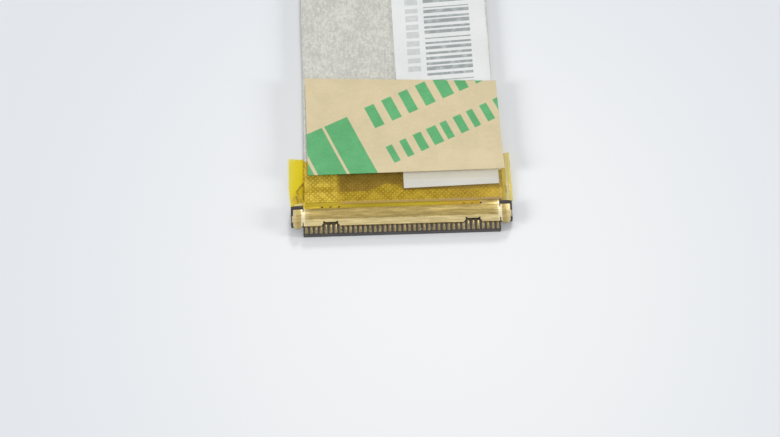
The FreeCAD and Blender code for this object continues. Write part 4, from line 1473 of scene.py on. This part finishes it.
class CABLE_OT_gathers(bpy.types.Operator):
    """Gather the cloth from the flat lead to the round bundle, and spread it again"""

    bl_idname = "cable.gathers"
    bl_label = "Taper and fan"

    def execute(self, context):
        low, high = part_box("shield_wrap")
        middle = (low.x + high.x) / 2
        fan_flat_y = FAN_END_Y - LEVEL_RUN
        cloth = cloth_material("gathered_cloth")
        pieces = (
            # name, node, where the cloth is still flat and where it is round, level run before that
            ("taper_cloth", "taper_wrap", (middle, LEAD_END_Y), (0.0, TAPER_END_Y), 0.0),
            ("fan_cloth", "fan_wrap", (BOARD_X, fan_flat_y), (BOARD_X, FAN_ROUND_Y), LEVEL_RUN),
        )
        for name, node, flat, gathered, level_run in pieces:
            outer, inner = (
                self.rings(low, high, flat, gathered, level_run, inset)
                for inset in (0.0, sizes().cloth_thickness)
            )
            piece = tube_shell(name, outer, inner, True)
            finish_piece(piece, cloth, [node])
        return {"FINISHED"}

    def rings(self, low, high, flat, gathered, level_run, inset):
        """Rings of points from where the cloth is flat to where it is round."""
        width, height = high.x - low.x, high.z - low.z
        (flat_x, flat_y), (round_x, round_y) = flat, gathered
        stations = []
        if level_run:
            back = -level_run if round_y > flat_y else level_run
            stations += [(0.0, flat_y + back * (1 - t)) for t in shares(6)[:-1]]
        stations += [(t, flat_y + t * (round_y - flat_y)) for t in shares(48)]
        rings = []
        for share, y in stations:
            ease = smooth(share, 0, 1)
            x = flat_x + (round_x - flat_x) * ease
            z = (low.z + height / 2) * (1 - ease) + bundle_level() * ease
            section = gathered_section(share, width, height, inset)
            rings.append([Vector((x + dx, y, z + dz)) for dx, dz in section])
        return rings


def bundle_route():
    """Points of the round bundle from the taper, through its hank, to the board plug.

    They are listed in millimetres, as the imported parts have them.
    """
    level = 1.7
    outer, inner = 12.1, 9.0  # radii of the hank's two turns
    near_y, far_y = 61.025, 91.025  # and where their middles lie
    route = [(0, 34.025, level), (0, 43.525, level), (12.1, 56.125, level), (12.1, 65.025, level)]
    for radius, middle, start in ((outer, far_y, 0.0), (inner, near_y, math.pi)):
        for turn in half_turn(start, 13):
            route.append((radius * math.cos(turn), middle + radius * math.sin(turn), level))
    route += [(9.0, 74.025, level), (9.0, 81.025, level)]
    route += [(8.7, 93.025, 5.1), (5.6, 107.025, 5.1), (2.6, 117.525, level), (2.6, 126.025, level)]
    return [Vector(p) * MM for p in route]


def bundle_line():
    """Points of the smooth spline that has the route's points as its control points."""
    route = bundle_route()
    data = bpy.data.curves.new("bundle_line", "CURVE")
    data.dimensions = "3D"
    data.resolution_u = 12
    spline = data.splines.new("NURBS")
    spline.points.add(len(route) - 1)
    for point, place in zip(spline.points, route):
        point.co = (*place, 1.0)
    spline.order_u = 3
    spline.use_endpoint_u = True
    guide = bpy.data.objects.new("bundle_line", data)
    mesh = bpy.data.meshes.new_from_object(guide)
    line = [v.co.copy() for v in mesh.vertices]
    bpy.data.meshes.remove(mesh)
    bpy.data.objects.remove(guide)
    bpy.data.curves.remove(data)
    return line


def carried_frames(line):
    """Two directions across a line at each of its points, turned as little as possible."""
    tangents = [(b - a).normalized() for a, b in zip(line, line[1:])]
    tangents.append(tangents[-1])
    side = tangents[0].cross(Vector((0, 0, 1))).normalized()
    frames = []
    for tangent in tangents:
        side = (side - tangent * side.dot(tangent)).normalized()
        frames.append((side, side.cross(tangent).normalized()))
    return frames


def swept_tube(name, line, sides, radius_at):
    """A closed tube along a line, its own map in metres round it and along it."""
    points, length, lengths = [], 0.0, []
    for k, (place, (side, up)) in enumerate(zip(line, carried_frames(line))):
        if k:
            length += (place - line[k - 1]).length
        lengths.append(length)
        for j in range(sides):
            turn = 2 * math.pi * j / sides
            way = side * math.cos(turn) + up * math.sin(turn)
            points.append(place + way * radius_at(turn, length))
    faces, maps = [], []
    around = 2 * math.pi * bundle_radius() / sides
    for k in range(len(line) - 1):
        for j in range(sides):
            a, b = k * sides + j, k * sides + (j + 1) % sides
            faces.append((a, b, b + sides, a + sides))
            for u, v in ((j, k), (j + 1, k), (j + 1, k + 1), (j, k + 1)):
                maps += (u * around, lengths[v])
    last = (len(line) - 1) * sides
    faces += [range(sides)[::-1], range(last, last + sides)]
    maps += [0.0] * (4 * sides)
    mesh = new_mesh(name, points, faces)
    mesh.uv_layers.new(name="Wrap").data.foreach_set("uv", maps)
    mesh.update()
    if mesh.polygons[0].normal.dot(Vector(points[0]) - line[0]) < 0:
        mesh.flip_normals()
    shade(mesh, 45)
    return add_object(name, mesh)


class CABLE_OT_bundle(bpy.types.Operator):
    """Lay the round bundle in its hank with its collars and tie"""

    bl_idname = "cable.bundle"
    bl_label = "Round bundle"

    def execute(self, context):
        radius = bundle_radius()
        pitch = sizes().wrap_pitch

        def radius_at(turn, length):
            """The wrapping tape rises towards each lap, over a few soft ribs."""
            phase = (length / pitch + turn / (2 * math.pi)) % 1.0
            lap = 0.05 * MM * (1 - smooth(phase, 0.0, 0.12)) + 0.045 * MM * phase
            rib = 0.008 * MM * math.sin(11 * turn + 700 * length)
            return radius - 0.055 * MM + lap * 0.9 + rib

        bundle = swept_tube("cloth_bundle", bundle_line(), 40, radius_at)
        cloth = cloth_material("bundle_cloth", mapped=True)
        finish_piece(bundle, cloth, ["bundle_run", "bundle_hank", "bundle_tail"])
        black = black_cloth_material()
        self.collar("collar", "collar_tape", 0.0, black)
        self.collar("tail_collar_tape", "tail_collar", BOARD_X, black)
        self.tie(black)
        return {"FINISHED"}

    def collar(self, name, node, x, material):
        """Black tape round the bundle, eased at its ends and lapped over itself."""
        low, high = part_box(node)
        radius = bundle_radius()
        ease = 0.06 * MM
        # place along Y, and share of the wall's thickness
        stations = [(low.y, 0.35), (low.y + ease, 0.9), (low.y + 2 * ease, 1.0)]
        stations += [(low.y + t * (high.y - low.y), 1.0) for t in (0.2, 0.4, 0.6, 0.8)]
        stations += [(high.y - 2 * ease, 1.0), (high.y - ease, 0.9), (high.y, 0.35)]
        middle = Vector((x, 0, bundle_level()))
        outer, inner = [], []
        for y, full in stations:
            for ring in (outer, inner):
                ring.append([])
            for k in range(96):
                turn = 2 * math.pi * k / 96
                lap = 0.06 * MM * (1 - ((turn / (2 * math.pi) + 0.3) % 1.0))
                way = Vector((math.cos(turn), 0, math.sin(turn)))
                place = middle + Vector((0, y, 0))
                outer[-1].append(place + way * (radius + (COLLAR_WALL - lap) * full))
                inner[-1].append(place + way * (radius + 0.001 * MM))
        piece = tube_shell(name, outer, inner, True)
        self.ring_map(piece, middle)
        finish_piece(piece, material, [node])

    def ring_map(self, piece, middle):
        """A map of turns and places along Y, in metres, for the weave of a ring."""
        layer = piece.data.uv_layers.new(name="Wrap")
        for loop in piece.data.loops:
            place = piece.data.vertices[loop.vertex_index].co - middle
            turn = math.atan2(place.z, place.x)
            layer.data[loop.index].uv = (turn * bundle_radius(), place.y)

    def tie(self, material):
        """Hook-and-loop band round the two runs that lie side by side, its end lapped over."""
        low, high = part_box("hank_tie")
        radius = bundle_radius()
        level = bundle_level()
        band = 0.19 * MM
        left_x, right_x = low.x + level, high.x - level
        path = []
        for share in shares(9)[:0:-1]:
            over = band * smooth(share, 0.0, 0.25)
            path.append((left_x + share * 2.6 * MM, level + radius + over, math.pi / 2))
        for x, start in ((left_x, math.pi / 2), (right_x, -math.pi / 2)):
            for turn in half_turn(start, 25):
                path.append((x + radius * math.cos(turn), level + radius * math.sin(turn), turn))
        path.append((left_x, level + radius, math.pi / 2))
        ease = 0.05 * MM
        stations = [low.y, low.y + ease, (low.y + high.y) / 2, high.y - ease, high.y]
        outer, inner = (
            [
                [Vector((x + math.cos(turn) * out, y, z + math.sin(turn) * out)) for y in stations]
                for x, z, turn in path
            ]
            for out in (band, 0.002 * MM)
        )
        piece = tube_shell("tie_band", outer, inner, False)
        self.ring_map(piece, Vector(((left_x + right_x) / 2, 0, level)))
        values = {"Density": sizes().pile_density, "Seed": 7, "Loop size": 0.11 * MM}
        grow(piece, pile_tree(), {**values, "Cloth": material})
        finish_piece(piece, material, ["hank_tie"])


class CABLE_OT_cord_facts(bpy.types.Operator):
    bl_idname = "cable.cord_facts"
    bl_label = "Cord facts"

    def execute(self, context):
        made = ("tie_band", "tail_collar_tape", "fan_cloth", "board_film")
        made += ("board_top_shell", "board_bottom_shell", "board_contact_row")
        kept = ("plug_housing", "ground_bar_top", "ground_bar_bottom", "coax_cores", "coax_braids")
        carried = [bpy.data.objects[name] for name in made]
        carried += [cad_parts["board_" + name] for name in kept]
        [tuple(p) for p in bundle_line()]
        return {"FINISHED"}


class CABLE_OT_wires(bpy.types.Operator):
    """Finish the wires and ground bars held inside both plugs and the sleeve"""

    bl_idname = "cable.wires"
    bl_label = "Wires"

    def execute(self, context):
        braid = tin_material("tinned_braid", 0.08 * MM)
        tin = tin_material("tinned_bar")
        for prefix, *_ in PLUGS:
            paint(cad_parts[prefix + "coax_braids"], braid)
            for part in ("coax_cores", "ground_bar_top", "ground_bar_bottom"):
                paint(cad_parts[prefix + part], tin)
        paint(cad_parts["coax_jackets"], jacket_material())
        return {"FINISHED"}


OPERATORS = (
    CABLE_OT_stage,
    CABLE_OT_bundle,
    CABLE_OT_plug_housings,
    CABLE_OT_plug_shells,
    CABLE_OT_contacts,
    CABLE_OT_wires,
    CABLE_OT_sleeve,
    CABLE_OT_films,
    CABLE_OT_label,
    CABLE_OT_pad_and_liner,
    CABLE_OT_gathers,
    CABLE_OT_cord_facts,
)


class CABLE_PT_panel(bpy.types.Panel):
    """Lists the steps that finish the cable, and its settings"""

    bl_idname = "CABLE_PT_panel"
    bl_label = "Display Cable"
    bl_space_type = "VIEW_3D"
    bl_region_type = "UI"
    bl_category = "Display Cable"

    def draw(self, context):
        for operator in OPERATORS:
            self.layout.operator(operator.bl_idname)
        for settings in (sizes(), looks(), stage_settings()):
            box = self.layout.box()
            for name in settings.bl_rna.properties.keys():
                if name not in ("rna_type", "name"):
                    box.prop(settings, name)


SETTINGS = {"cable_looks": LookSettings, "cable_sizes": SizeSettings, "cable_stage": StageSettings}


def register():
    for kind in (*SETTINGS.values(), *OPERATORS, CABLE_PT_panel):
        bpy.utils.register_class(kind)
    for name, kind in SETTINGS.items():
        setattr(bpy.types.Scene, name, PointerProperty(type=kind))


def unregister():
    for name in SETTINGS:
        delattr(bpy.types.Scene, name)
    for kind in (CABLE_PT_panel, *OPERATORS[::-1], *SETTINGS.values()):
        bpy.utils.unregister_class(kind)


def main():
    register()
    bpy.context.scene.view_settings.view_transform = "Standard"
    for operator in OPERATORS:
        family, name = operator.bl_idname.split(".")
        getattr(getattr(bpy.ops, family), name)()


if __name__ == "__main__":
    main()
